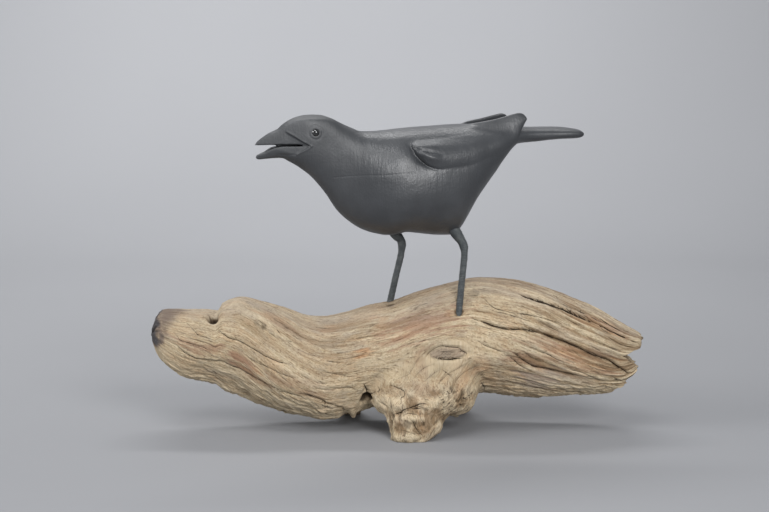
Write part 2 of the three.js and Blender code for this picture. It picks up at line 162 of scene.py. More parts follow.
# Each soft box is its place in m, width, height, power in W and the spot that it faces.
SOFT_BOXES = {
    "overhead_box": ((-0.35, -0.85, 1.95), 1.2, 0.7, 14.0, (0.0, 0.0, 0.2)),
    "left_box": ((-2.0, -0.6, 1.05), 0.9, 0.9, 23.0, (0.0, 0.0, 0.2)),
    "right_box": ((0.75, -1.8, 1.05), 0.9, 0.9, 32.0, (0.0, 0.0, 0.2)),
    "card_box": ((-0.25, 1.15, 1.95), 1.8, 0.6, 50.0, (-0.22, 2.1, 0.62)),
}
for name, (place, width, height, power, target) in SOFT_BOXES.items():
    lamp = bpy.data.lights.new(name, "AREA")
    lamp.shape = "RECTANGLE"
    lamp.size = width
    lamp.size_y = height
    lamp.energy = power
    box = bpy.data.objects.new(name, lamp)
    box.location = place
    box.rotation_euler = (Vector(target) - Vector(place)).to_track_quat("-Z", "Y").to_euler()
    bpy.context.scene.collection.objects.link(box)

room = bpy.data.worlds.new("pale_room")
room.use_nodes = True
room_light = room.node_tree.nodes["Background"].inputs
room_light["Color"].default_value = linear("#E6E9EF")
room_light["Strength"].default_value = 0.42
bpy.context.scene.world = room
bpy.context.scene.view_settings.view_transform = "Standard"

camera = bpy.data.objects.new("camera", bpy.data.cameras.new("camera"))
camera.data.lens = CAMERA_LENS
camera.data.sensor_width = 36.0
camera.location = log_origin / 1000 + np.array(CAMERA_AT)
camera.rotation_euler = (math.radians(90 - CAMERA_DOWN_DEG), 0.0, 0.0)
bpy.context.scene.collection.objects.link(camera)
bpy.context.scene.camera = camera

# ---- Driftwood base ----
# One weathered piece of driftwood: a long log, burnt at its left end and splintered at its right, that stands
# on a gnarled root in front and two stubs behind. Its soles are sawn flat, and each leg has a drilled hole.

# Each row is x, top, underside, y of the middle, half depth and squareness, in mm over the table.
LOG_STATIONS = [
    (-295, 124, 108, 4, 12, 2.2), (-292, 133, 100, 4, 20, 2.3), (-288, 141, 93, 4, 27, 2.4),
    (-281, 145, 83, 4, 32, 2.4), (-267, 145.3, 71.5, 5, 37, 2.4), (-253, 145, 63, 5, 40, 2.4),
    (-231, 145, 58.5, 6, 43, 2.3), (-217, 143.5, 55, 6, 45, 2.3), (-211, 153, 49.5, 6, 46, 2.3),
    (-200, 158.5, 44, 6, 47, 2.2), (-189, 161, 41, 6, 48, 2.2), (-166, 156, 31, 7, 50, 2.2),
    (-137, 147, 20.5, 8, 53, 2.2), (-108, 137, 15.5, 10, 55, 2.2), (-90, 135.5, 10.5, 11, 56, 2.2),
    (-64, 140, 15.5, 13, 57, 2.2), (-35, 149, 23.5, 15, 58, 2.2), (-6, 154.5, 29, 17, 59, 2.2),
    (23, 165, 35, 18, 61, 2.2), (60, 175, 40, 19, 63, 2.2), (100, 182.5, 42, 20, 63, 2.2),
    (140, 180.5, 39, 18, 60, 2.2), (170, 174, 38, 16, 56, 2.2), (213, 158.5, 40.5, 13, 49, 2.2),
    (242, 146, 42, 10, 42, 2.2), (266, 132, 45, 8, 34, 2.2), (282, 123, 56, 7, 28, 2.3),
    (292, 117.5, 70, 6, 22, 2.4), (297, 112, 78, 6, 16, 2.4),
]
# Where roots leave the log: x and the turn round the log (0 at the front, 90 on top), how far that place
# spreads in mm and in degrees, the flat share at its tip, the tip's dome, and rows of share of the way out,
# x, y, z, half width along the log and half width across it.
ROOTS = [
    {
        "at": (29, -46), "reach": (79, 54), "flat": 0.3, "dome": 5,
        "spine": [
            (0, 32, -12, 60, 80, 38), (0.3, 31, -27, 46, 69, 32), (0.55, 31, -40, 35, 53, 27),
            (0.68, 26, -46, 27, 39, 24), (0.8, 21, -50, 18, 32, 22), (0.92, 19.5, -54, 8, 28, 19),
            (1, 16.5, -57, -2, 22, 15),
        ],
    },
    {
        "at": (-59, 226), "reach": (34, 34), "flat": 0.36, "dome": 4,
        "spine": [(0, -60, 44, 44, 30, 30), (0.5, -59, 64, 26, 20, 20), (1, -58, 80, -2, 12, 12)],
    },
    {
        "at": (79, 228), "reach": (36, 34), "flat": 0.36, "dome": 4,
        "spine": [(0, 80, 50, 60, 34, 34), (0.5, 76, 76, 34, 20, 20), (1, 74, 94, -2, 13, 13)],
    },
]


def through(rows):
    """A smooth curve through a table's rows, without overshoot, as a function of the first column."""
    table = np.array(rows, float)
    at, values = table[:, 0], table[:, 1:]
    gap = np.diff(at)[:, None]
    rise = np.diff(values, axis=0) / gap
    slope = np.zeros_like(values)
    steady = rise[:-1] * rise[1:] > 0
    slope[1:-1][steady] = (2 * rise[:-1] * rise[1:])[steady] / (rise[:-1] + rise[1:])[steady]

    def curve(place):
        inside = np.clip(np.asarray(place, float), at[0], at[-1])
        i = np.clip(np.searchsorted(at, inside) - 1, 0, len(at) - 2)
        h = gap[i]
        t = (inside - at[i])[..., None] / h
        rest = 1 - t
        ends = values[i] * rest**2 * (1 + 2 * t) + values[i + 1] * t**2 * (1 + 2 * rest)
        return ends + h * (slope[i] * t * rest**2 - slope[i + 1] * t**2 * rest)

    return curve


def smooth(value, low, high):
    """0 below low, 1 above high, and an even S between them."""
    t = np.clip((value - low) / (high - low), 0, 1)
    return t * t * (3 - 2 * t)


def bent(value, power):
    """A power of the value that keeps its sign."""
    return np.sign(value) * np.abs(value) ** power


def bell(share):
    """1 in the middle, falling off on both sides to about a third at a share of 1."""
    return np.exp(-(share**2))


def unit(vectors):
    """Vectors of length 1 along those given."""
    return vectors / np.maximum(np.linalg.norm(vectors, axis=-1, keepdims=True), 1e-9)


def root_place(root, x, degrees):
    """How a place on the log lies round a root's middle: its two shares of the reach, and how far it is."""
    dx = (x - root["at"][0]) / root["reach"][0]
    dt = ((degrees - root["at"][1] + 180) % 360 - 180) / root["reach"][1]
    return dx, dt, np.maximum(np.hypot(dx, dt), 1e-9)


def pulled(points, root, x, degrees):
    """Draws the log's skin out along a root, as a potter pulls a spout."""
    dx, dt, far = root_place(root, x, degrees)
    share = np.clip((1 - far) / (1 - root["flat"]), 0, 1)
    spine = through(root["spine"])
    row = spine(share)
    ahead = spine(np.minimum(share + 0.05, 1))[..., :3] - spine(np.maximum(share - 0.05, 0))[..., :3]
    out = unit(ahead * (0, 1, 1))
    across = np.array([1.0, 0, 0])
    up = np.cross(out, across)
    within = np.minimum(far / root["flat"], 1)
    made = row[..., :3] + root["dome"] * (1 - within**2)[..., None] * out
    made += (dx / far * row[..., 3] * within)[..., None] * across
    made += (dt / far * row[..., 4] * within)[..., None] * up
    return points + (made - points) * smooth(share, 0, 0.5)[..., None]


log_at = through(LOG_STATIONS)


def log_surface(x, degrees):
    """The log's skin before any relief, in mm."""
    top, under, y, depth, square = np.moveaxis(log_at(x), -1, 0)
    turn = np.radians(degrees)
    lump = 2.4 * np.sin(x / 31 + 2 * turn) + 1.8 * np.sin(x / 19 - 3 * turn + 1)
    lump = lump + 1.2 * np.sin(5 * turn + x / 47)
    half = 0.5 * (top - under)
    scale = 1 + lump * np.cos(turn) ** 2 * smooth(half, 18, 40) / half
    side = y - depth * scale * bent(np.cos(turn), 2 / square)
    level = 0.5 * (top + under) + half * scale * bent(np.sin(turn), 2 / square)
    points = np.stack(np.broadcast_arrays(x + 0 * turn, side, level), axis=-1)
    for root in ROOTS:
        points = pulled(points, root, x, degrees)
    return points


def noise(places, seed):
    """Smooth random values from -1 to 1, with one lattice step per unit."""
    table = np.random.default_rng(seed).uniform(-1, 1, (64, 32, 32))
    cell = np.floor(places).astype(int)
    t = places - cell
    t = t * t * t * (t * (t * 6 - 15) + 10)
    total = 0.0
    for corner in np.ndindex(2, 2, 2):
        i = cell + corner
        weight = np.prod(np.where(np.array(corner) > 0, t, 1 - t), axis=-1)
        total = total + weight * table[i[..., 0] % 64, i[..., 1] % 32, i[..., 2] % 32]
    return 1.6 * total


def spaced(stretches):
    """Places along a line, from stretches of start, end and spacing."""
    parts = [np.linspace(a, b, max(round((b - a) / gap), 1), endpoint=False) for a, b, gap in stretches]
    return np.append(np.concatenate(parts), stretches[-1][1])


# The grain winds slowly round the log, and the columns of the mesh wind with it, so cracks run along them.
GRAIN_WIND = through([(-295, 62), (-60, 3), (-20, 0), (70, 0), (110, -4), (297, -34)])
rings = spaced([(-295, -262, 2.6), (-262, -52, 3.0), (-52, 104, 1.85), (104, 262, 3.0), (262, 297, 1.9)])
columns = spaced([(-122, -50, 0.85), (-50, -15, 0.43), (-15, 72, 0.65), (72, 122, 1.05), (122, 238, 3.2)])
columns = columns[:-1]

# The splintered right end. Seen from the front, the wood ends further left the lower it is, and an open notch
# runs back between two tines. Each row is height and x.
END_FROM = 236  # x where the mesh starts to be squeezed into the end's shape
LOG_END = 297
END_EDGE = [
    (40, 255), (52, 264), (56, 271), (65, 279), (70, 285), (79, 290), (104, 292), (112, 296), (126, 292)
]
NOTCH_EDGE = [(78.5, 310), (80, 289), (87, 279), (94.5, 271), (100, 283), (106.5, 310)]


def end_of_wood(y, z):
    """How far the right end reaches in x, at a place across its section."""
    edge = np.interp(z, *zip(*END_EDGE))
    notch = np.interp(z, *zip(*NOTCH_EDGE))
    layers = np.stack([0.05 * y, z / 3.1 + 0.06 * y, 0 * z + 0.5], axis=-1)
    flakes = np.stack([y / 6.0, z / 2.0, 0 * z + 0.5], axis=-1)
    ragged = 4.5 * np.abs(noise(layers, 71)) + 2.0 * np.abs(noise(flakes, 72))
    return np.minimum(edge + 1.5 - ragged, notch - 0.35 * ragged)


ring_x, column_turn = np.meshgrid(rings, columns, indexing="ij")
reach_x = np.arange(END_FROM, LOG_END + 0.1, 0.5)[:, None] + 0 * columns[None]
reach_points = log_surface(reach_x, columns[None] + GRAIN_WIND(reach_x)[..., 0])
past_end = reach_x >= end_of_wood(reach_points[..., 1], reach_points[..., 2])
past_end[-1] = True
column_end = reach_x[np.argmax(past_end, axis=0), np.arange(len(columns))]
squeezed = END_FROM + (ring_x - END_FROM) * (column_end - END_FROM) / (LOG_END - END_FROM)
ring_x = np.where(ring_x > END_FROM, squeezed, ring_x)
ring_turn = column_turn + GRAIN_WIND(ring_x)[..., 0]
skin = log_surface(ring_x, ring_turn)
skin_x, skin_y, skin_z = np.moveaxis(skin, -1, 0)


def outward(points):
    """The normals of a wrapped grid of points whose rows are rings."""
    along = np.gradient(points, axis=0)
    around = np.roll(points, -1, axis=1) - np.roll(points, 1, axis=1)
    return unit(np.cross(along, around))


skin_normal = outward(skin)
if np.sum(skin_normal[:, 0] * (skin[:, 0] - skin.mean(axis=1))) < 0:
    skin_normal = -skin_normal
_, normal_y, normal_z = np.moveaxis(skin_normal, -1, 0)
faces_front = smooth(-normal_y, 0.05, 0.35) * smooth(-skin_y, -25, -5)

# The grain's own coordinates, in mm: along it, and two across it. On the log they part round the eye-shaped
# knot. On the front root they run up and down it, and are curled like burr wood.
EYE_KNOT = {"x": 59, "turn": -2.5, "long": 25, "high": 8.5}
EYE_LENS = {"z": 102, "tilt": 0.04, "long": 23.5, "high": 8.2}  # mm, the older wood inside the knot
GRAIN_RADIUS = 60
knot_turn = column_turn - EYE_KNOT["turn"]
knot_far = np.hypot((ring_x - EYE_KNOT["x"]) / EYE_KNOT["long"], knot_turn / EYE_KNOT["high"])
parted = EYE_KNOT["turn"] + knot_turn * (1 - np.minimum(1 / np.maximum(knot_far, 1) ** 2, 1))
lens_x = skin_x - EYE_KNOT["x"]
lens_z = skin_z - EYE_LENS["z"] - EYE_LENS["tilt"] * lens_x
lens_far = np.hypot(lens_x / EYE_LENS["long"], lens_z / EYE_LENS["high"])
in_knot = (1 - smooth(lens_far, 0.8, 1.0)) * faces_front
round_knot = (knot_far < 4) & (in_knot < 0.5)
grain_turn = np.where(round_knot, parted + (column_turn - parted) * smooth(knot_far, 2, 4), column_turn)
grain_turn = np.radians(grain_turn)
log_grain = np.stack([ring_x, GRAIN_RADIUS * np.cos(grain_turn), GRAIN_RADIUS * np.sin(grain_turn)], axis=-1)
curl = np.stack([noise(skin / 21.0, 34), noise(skin / 21.0, 35), noise(skin / 9.0, 36)], axis=-1)
root_grain = skin[..., (2, 0, 1)] * (0.6, 1, 1) + curl * (9.0, 7.0, 2.5)
root_far = root_place(ROOTS[0], ring_x, ring_turn)[2]
on_root = smooth(1 - root_far, 0.05, 0.3) * smooth(-skin_z, -99, -86) * (1 - in_knot)
gnarled = smooth(1 - root_far, 0.12, 0.5) * smooth(-skin_z, -80, -56)


def grain_relief(grain):
    """Height over the plain skin in mm, and how much its ribs are painted lighter, as painted highlight on
    ridges.
    """
    swell = noise(grain / (95, 19, 19), 11)
    flute = noise(grain / (80, 9.5, 9.5), 12)
    rib = noise(grain / (55, 4.2, 4.2), 13)
    hair = noise(grain / (26, 2.1, 2.1), 14)
    layer = (0.5 + 1.5 * smooth(ring_x, 90, 210)) * (0.3 * rib + 0.24 * hair)
    return 0.7 * swell + 0.25 * flute + layer, 0.15 * flute + 1.6 * layer


log_height, log_ridge_light = grain_relief(log_grain)
root_height, root_ridge_light = grain_relief(root_grain)
knobs = 2.3 * noise(skin / 15.0, 37) + 1.1 * noise(skin / 7.0, 38) + 0.45 * noise(skin / 3.2, 39)
height = log_height + (root_height - log_height) * on_root + knobs * gnarled
ridge_light = log_ridge_light + (root_ridge_light - log_ridge_light) * on_root + 0.4 * knobs * gnarled

# The deep cracks, as places on the log: half width, depth, how much the upper side stands proud of the lower,
# then x and turn along each.
CRACKS = {
    "burnt_end_upper": (0.45, 1.3, 0.3, [(-256, 55), (-243, 33.5), (-237, 24.5), (-224, 19.5), (-217, 18)]),
    "left_upper": (
        0.6, 2.0, 0.5, [(-215, 32.5), (-209, 23), (-197, 15), (-184, 11.5), (-168, 8), (-148, 5), (-125, 6)],
    ),
    "left_short": (0.45, 1.2, 0.2, [(-268, 23), (-262, 15.5), (-254, 6)]),
    "left_lower": (
        0.7, 2.4, 0.7,
        [
            (-266, 3.5), (-257, -1.5), (-246, -7), (-236, -10.5), (-212, -9), (-198, -15), (-183, -19),
            (-164, -21.5), (-146, -21.5), (-137, -20),
        ],
    ),
    "left_lower_tail": (0.6, 2.0, 0.4, [(-146, -24.5), (-132, -23), (-120, -24), (-106, -28.5)]),
    "flap_edge": (
        0.9, 4.0, 2.4,
        [(-118, -20.5), (-99, -21.5), (-91, -24.5), (-84, -30), (-76, -35), (-68, -41.5), (-60, -55)],
    ),
    "left_middle": (0.5, 1.6, 0.4, [(-180, -1), (-164, -2.5), (-150, -3.2), (-137, -4.8), (-118, -4)]),
    "nick_upper": (0.7, 1.6, 0.0, [(-144, 41), (-138, 36)]),
    "nick_lower": (0.6, 1.4, 0.0, [(-133, 31), (-125, 32.5)]),
    "under_flap": (0.8, 2.8, 1.0, [(-93, -28.5), (-84, -38), (-76, -43)]),
    "under_flap_low": (0.7, 2.4, 0.8, [(-95, -44), (-87, -50), (-80, -57)]),
    "middle_upper": (0.4, 1.0, 0.2, [(-92, 8), (-84, 4), (-66, -2), (-53, -8)]),
    "middle_lower": (0.5, 1.6, 0.4, [(-83, -10), (-71, -15), (-57, -18), (-51, -22), (-46, -27.5)]),
    "middle_pale": (0.35, 0.6, 0.0, [(-53, 43), (-36, 43), (-22, 49)]),
    "right_top": (
        0.5, 1.4, 0.3, [(101, 50.5), (105, 45.5), (110, 40.5), (117, 36), (136, 32), (158, 30.5), (192, 29)],
    ),
    "right_high": (
        1.5, 6.0, 1.6,
        [
            (146, 53.5), (164, 52), (184, 50), (209, 49), (231, 48.5), (252, 46.5), (269, 45), (284, 38),
            (292, 30),
        ],
    ),
    "right_top_splinter": (0.6, 2.2, 0.9, [(190, 58), (206, 56), (222, 56.5), (240, 54), (256, 55)]),
    "right_top_splinter_end": (0.6, 2.2, 0.9, [(236, 60), (250, 58), (266, 56), (282, 50)]),
    "right_tine": (0.6, 2.2, 0.7, [(250, 30), (262, 27), (274, 24), (288, 20)]),
    "right_high_branch": (1.0, 3.0, 0.5, [(243, 47), (246, 40), (255, 38.5), (263, 37)]),
    "right_pale": (0.4, 0.9, 0.2, [(200, 34.5), (222, 33.5), (234, 32)]),
    "right_ladder": (0.6, 2.0, 0.4, [(224, 21.5), (229, 18.5), (242, 15.5), (259, 14.5), (269, 12)]),
    "right_main": (
        0.95, 4.6, 1.0,
        [
            (87, 25.5), (107, 19), (128, 14.5), (150, 15.3), (171, 13.5), (192, 10.5), (212, 7), (232, 1.5),
            (251, -0.5), (269, -11.5), (280, -28),
        ],
    ),
    "right_third": (0.5, 1.6, 0.3, [(92, 4), (100, 0.5), (120, -4), (134, -6)]),
    "right_fork_upper": (
        0.85, 3.2, 0.7,
        [(136, -5.5), (143, -8.5), (152, -14), (162, -18.5), (182, -21.5), (206, -24.5), (220, -26.5)],
    ),
    "right_fork_lower": (0.8, 2.8, 0.5, [(128, -7), (137, -11.5), (144, -17), (152, -21), (161, -24)]),
    "right_fine_a": (0.5, 1.5, 0.3, [(145, -2), (153, -5.5), (162, -10.5), (171, -14)]),
    "right_fine_b": (0.5, 1.5, 0.3, [(157, 1), (167, -2), (179, -4.5), (190, -8.5), (201, -11)]),
    "right_fine_c": (0.5, 1.5, 0.3, [(220, -8), (230, -11), (242, -14)]),
    "right_fine_d": (0.55, 1.8, 0.3, [(202, -16.5), (214, -19), (226, -22), (241, -30)]),
    "right_low": (0.45, 1.3, 0.2, [(127, -35), (136, -40.5), (148, -44.5)]),
    "right_nick": (0.8, 2.4, 0.0, [(98, -38), (101, -46), (106, -61)]),
    "right_low_splinter": (0.8, 2.6, 0.8, [(256, -22), (264, -30), (272, -38)]),
}
# Creases and folds that are seen from the front, on the root and round the knot, as x and height.
FRONT_CREASES = {
    "sweep": (
        0.25, 0.7, 0.3, [(-12, 69), (-5, 69.7), (4.6, 73), (12, 76), (16, 81), (20, 88), (24, 95), (32, 102)],
    ),
    "eye_top": (
        0.55, 1.7, -0.5,
        [(33, 99), (37, 102.5), (43, 107.5), (52, 110.5), (62, 109.5), (72, 108), (77, 103.5), (79, 99)],
    ),
    "eye_corner": (0.8, 2.0, 0.0, [(71, 104.5), (77, 103.8), (82, 101.8), (80.5, 97)]),
    "eye_bottom": (0.95, 2.4, 0.5, [(42, 98.5), (49, 95.2), (60, 94.2), (70, 95), (80, 96)]),
    "eye_layer": (0.42, 1.0, 0.3, [(44, 103.5), (52, 104), (62, 104), (70, 102)]),
    "eye_layer_low": (0.42, 1.0, 0.3, [(46, 99), (56, 100), (68, 99.5)]),
    "below_knot": (0.55, 1.5, 0.3, [(50, 84), (58, 78.6), (66, 71.5)]),
    "zigzag": (
        0.75, 2.2, 0.4,
        [(-12, 63.7), (-1.3, 61.7), (7.6, 58.5), (8.4, 54.2), (3.8, 49.8), (4.8, 45.4), (0.5, 41.6)],
    ),
    "plate": (0.7, 1.6, 0.3, [(-7.5, 49), (-6.6, 40.3), (-5, 33)]),
    "brow": (
        0.8, 3.0, 1.6,
        [(-9, 28), (-4.8, 31.7), (3, 35.2), (10.5, 39.8), (18.9, 43), (27.8, 45.4), (37, 45.6)],
    ),
    "under_brow": (1.1, 2.4, 0.8, [(13, 40), (20, 40.6), (28.5, 39.4)]),
    "curl_upper": (0.5, 1.6, 0.4, [(0, 24), (6, 31), (14, 34.5), (22, 33.5), (27, 28)]),
    "curl_right": (0.45, 1.4, -0.4, [(28, 39), (27, 30), (31, 22), (30, 15)]),
    "curl_left": (0.5, 1.4, 0.4, [(-6, 27), (-7.5, 20), (-8, 14), (-4, 9)]),
    "red_line": (0.7, 2.2, 0.9, [(13, 29), (17.3, 25.5), (21.8, 16.7), (29, 8.6), (37, 4.5)]),
    "lip_line": (0.5, 1.4, 0.6, [(-6, 12), (2, 14.5), (11, 13.5), (19, 10.5), (25, 6)]),
    "lip_layer": (0.3, 0.7, 0.2, [(-2, 8.5), (6, 9.5), (15, 7)]),
    "hole_branch": (0.9, 3.0, 0.0, [(-43, 64.5), (-38.5, 60.5), (-37, 55), (-37.4, 46)]),
    "hole_side": (0.7, 2.0, 0.0, [(-44, 51), (-38, 49), (-31, 51), (-26, 56)]),
    "fuzzy": (0.7, 1.6, 0.0, [(-24, 61), (-22.5, 57), (-25, 52)]),
    "ridge_side": (0.5, 1.4, 0.6, [(43, 62), (49, 52), (53, 42), (54, 30), (51, 17)]),
    "fold_a": (0.3, 0.8, 0.5, [(14, 66), (22, 76), (33, 85.5), (47, 91)]),
    "fold_b": (0.3, 0.8, 0.5, [(26, 64), (36, 73), (46, 80), (59, 85)]),
    "fold_c": (0.4, 1.0, 0.7, [(45, 58), (50, 68), (60, 77), (72, 83.5), (86, 91)]),
    "fold_d": (0.4, 1.0, 0.7, [(66, 63), (74, 73.5), (84, 80.5), (96, 86)]),
    "fold_e": (0.4, 1.0, 0.6, [(86, 62), (92, 70), (100, 77.5), (112, 83)]),
    "left_lobe": (0.4, 1.2, 0.4, [(-22, 44), (-16, 42), (-10, 38)]),
}
MM_PER_DEGREE = 1.05
split_gap = np.full(ring_x.shape, 9.0)  # mm to the nearest crack, below zero on its lower side
split_wide = np.zeros(ring_x.shape)  # that crack's half width there
depth = np.zeros(ring_x.shape)
all_over = np.full(ring_x.shape, True)
in_front = faces_front > 0.02


def lay_crack(flat, where, route, size, seed):
    """Sinks one crack into the skin. The skin and the route are laid out flat, in mm."""
    half_width, deep, proud = size
    steps = np.linspace(0, len(route) - 1, int(np.abs(np.diff(route, axis=0)).sum()) * 2 + 8)
    line = through([(i, *spot) for i, spot in enumerate(route)])(steps)
    run = np.append(0, np.cumsum(np.linalg.norm(np.diff(line, axis=0), axis=1)))
    shake = np.stack([run / 6.0, 0 * run + seed % 29 + 0.5, 0 * run + 0.5], axis=-1)
    line[:, 1] += 0.4 * noise(shake, 21)
    from_end = np.minimum(run, run[-1] - run) / min(14.0, 0.4 * run[-1])
    taper = np.clip(from_end, 0.02, 1) ** 0.7 * (0.85 + 0.3 * noise(shake * (0.5, 1, 1) + 7, 22))
    low, high = line.min(axis=0) - 14, line.max(axis=0) + 14
    near = where & np.all((flat > low) & (flat < high), axis=-1)
    offset = flat[near][:, None] - line[None]
    closest = np.linalg.norm(offset, axis=-1).argmin(axis=1)
    offset = offset[np.arange(len(closest)), closest]
    gap = np.linalg.norm(offset, axis=-1)
    heading = np.gradient(line, axis=0)[closest]
    side = np.sign(heading[:, 0] * offset[:, 1] - heading[:, 1] * offset[:, 0])
    side *= np.sign(line[-1, 0] - line[0, 0])
    wide = half_width * taper[closest]
    groove = bell(gap / (wide + 0.9)) * taper[closest]
    depth[near] += proud * side * np.exp(-gap / 6.0) * taper[closest] - deep * groove
    nearer = gap < np.abs(split_gap[near])
    split_gap[near] = np.where(nearer, side * gap, split_gap[near])
    split_wide[near] = np.where(nearer, wide * (1 - smooth(gap, 2.4, 3.4)), split_wide[near])


flat_log = np.stack([ring_x, ring_turn * MM_PER_DEGREE], axis=-1)
flat_front = skin[..., (0, 2)]
for seed, (*size, route) in enumerate(CRACKS.values()):
    lay_crack(flat_log, all_over, np.array(route) * (1, MM_PER_DEGREE), size, seed)
for seed, (*size, route) in enumerate(FRONT_CREASES.values()):
    lay_crack(flat_front, in_front, np.array(route, float), size, seed + 40)

# Fine drying checks are scattered along the grain. Each is straight and thin, and runs out to nothing.
FINE_CHECKS = 520
scatter = np.random.default_rng(24)
for number in range(FINE_CHECKS):
    start = scatter.uniform(-288, 255) if number % 3 else scatter.uniform(110, 270)
    long = 8 + 44 * scatter.uniform() ** 2
    side, drift = scatter.uniform(-80, 130), scatter.uniform(-2.5, 2.5)
    half_width, deep = scatter.uniform(0.15, 0.38), scatter.uniform(0.3, 1.0)
    x = np.linspace(start, min(start + long, 286), 5)
    turn = side + drift * np.linspace(0, 1, 5) + GRAIN_WIND(x)[:, 0]
    by_knot = np.abs(x.mean() - EYE_KNOT["x"]) < 45 and abs(side - EYE_KNOT["turn"]) < 14
    by_root = np.any(root_place(ROOTS[0], x, turn)[2] < 0.75)
    if not (by_knot or by_root):
        route = np.stack([x, turn * MM_PER_DEGREE], axis=-1)
        lay_crack(flat_log, all_over, route, (half_width, deep, scatter.uniform(-0.2, 0.4)), number)

# Torn fibres stand close together under the log on the right of the root, like a row of bristles.
TORN_FIBRES = 70
for number in range(TORN_FIBRES):
    x, z = scatter.uniform(50, 96), scatter.uniform(4, 60)
    long, lean = scatter.uniform(4, 11), scatter.uniform(0.1, 0.8)
    route = np.array([(x, z), (x + 0.6 * lean * long, z + 0.5 * long), (x + lean * long, z + long)])
    size = (scatter.uniform(0.3, 0.6), scatter.uniform(0.6, 1.3), 0.4)
    lay_crack(flat_front, in_front, route, size, number + 7)

# Pits and bulges seen from the front, as x, height, radius, depth (below zero for a bulge) and how dark the
# painted shade in each pit is.
FRONT_DENTS = {
    "hole": (-37.0, 44.5, 4.6, 9.0, 1.0),
    "hole_low": (-41.0, 40.0, 3.4, 5.0, 0.9),
    "hollow": (11.0, 21.0, 5.5, 4.0, 0.55),
    "hollow_side": (19.5, 22.0, 3.5, 2.0, 0.35),
    "left_pit": (-6.5, 29.0, 3.0, 2.4, 0.6),
    "left_pit_low": (-8.5, 20.0, 2.6, 1.6, 0.4),
    "cheek": (1.4, 23.9, 5.0, -2.0, 0.0),
    "lip": (7.0, 6.5, 9.5, -2.6, 0.0),
    "root_knot": (33.8, 39.3, 2.4, 1.8, 0.5),
    "right_lobe": (39.0, 26.0, 9.0, -2.6, 0.0),
    "right_lobe_low": (34.0, 12.0, 6.0, -1.6, 0.0),
    "bristle_pit_a": (64.0, 61.0, 2.6, 2.6, 0.6),
    "bristle_pit_b": (67.5, 56.5, 2.2, 2.2, 0.55),
    "bristle_pit_c": (74.0, 46.0, 2.4, 2.6, 0.65),
    "bristle_pit_d": (61.5, 51.0, 2.0, 2.0, 0.4),
}
pit_shade_and_dirt = np.zeros(ring_x.shape)


def lay_dent(far, radius, deep, dirt_and_shade, where):
    """Sinks a rounded pit into the skin at places so far from its middle, with painted shade and dirt in it.
    """
    bowl = np.exp(-((far / radius) ** 3)) * where
    depth[...] -= deep * bowl
    pit_shade_and_dirt[...] = np.maximum(pit_shade_and_dirt, dirt_and_shade * smooth(bowl, 0.15, 0.75))


for x, z, radius, deep, dirt_and_shade in FRONT_DENTS.values():
    lay_dent(np.hypot(skin_x - x, skin_z - z), radius, deep, dirt_and_shade, faces_front)

# Pits and bumps on the log, as x, turn, radius, depth (below zero for a bump) and how dark it is painted:
# painted shade in the holes and pits, dirt on the smudges, char on the burnt spot. The wood is worn down a
# little round the hole of each leg and sunk at its rim, where a dark ring of painted shade stands for the gap
# round the rod.
LOG_DENTS = {
    "knot_hole": (-221, 57.5, 5.2, 9.0, 1.0),
    "knot_hole_rim": (-229, 62, 6.0, -2.5, 0.15),
    "knot_hole_back": (-222, 76, 6.0, -2.0, 0.2),
    "smudge_a": (-167, 40, 3.6, 1.6, 0.3),
    "smudge_b": (-159, 38, 4.4, 2.4, 0.55),
    "shoulder_hollow": (-176, 52, 12.0, 1.6, 0.0),
    "knot_swirl": (122, 53, 9.0, 1.0, 0.0),
    "left_leg_worn": (73, 34, 11.0, 2.6, 0.0),
    "left_leg_rim": (73, 35, 5.4, 2.0, 0.75),
    "right_leg_worn": (-9, 84, 10.0, 2.0, 0.0),
    "right_leg_rim": (-9, 84, 5.4, 1.6, 0.7),
    "by_leg": (91, 55, 7.0, 1.2, 0.3),
    "by_leg_low": (84, 43, 5.0, 0.8, 0.22),
    "flake": (-181, -59, 3.0, 2.5, 0.6),
    "burnt_bottom": (-137, -72, 4.0, 2.0, 0.7),
}
for x, turn, radius, deep, dirt_and_shade in LOG_DENTS.values():
    centre = log_surface(np.array([float(x)]), np.array([float(turn)]))[0]
    lay_dent(np.linalg.norm(skin - centre, axis=-1), radius, deep, dirt_and_shade, 1)

# Where the fibres are torn, at the right of the root, the wood is bristly all over, with painted shade in the
# hollows between the bristles. The gnarled root is flecked with dark pits.
torn = np.exp(-(((skin_x - 72) / 17) ** 2) - ((skin_z - 50) / 15) ** 2)
torn *= smooth(-normal_y, -0.4, 0.1)
fibres = noise(np.stack([skin_x / 2.4, skin_z / 8.0, skin_y / 8.0], axis=-1), 31)
depth += torn * (2.2 * fibres - 0.6)
pit_shade_and_dirt = np.maximum(pit_shade_and_dirt, 0.8 * torn * smooth(-fibres, 0.15, 0.8))
pit_shade_and_dirt = np.maximum(pit_shade_and_dirt, 0.5 * gnarled * smooth(noise(skin / (2.2, 2.6, 2.6), 32), 0.35, 0.9))

# The lower edges are frayed into short flakes, and dry wood is rough all over.
below = smooth(-normal_z, 0.15, 0.7) * (1 - on_root)
below *= 0.75 - 0.15 * smooth(ring_x, 80, 120)
depth += below * (1.5 * noise(log_grain / (9, 4, 4), 45) + 0.8 * noise(log_grain / (4, 2.2, 2.2), 46))
depth += 0.22 * noise(skin / 1.7, 47)

# The lens of older wood inside the eye-shaped knot.
depth += in_knot * (0.5 + 0.9 * noise(log_grain / (26, 2.2, 2.2), 33))
depth -= 1.3 * bell((lens_far - 1.0) / 0.14) * faces_front

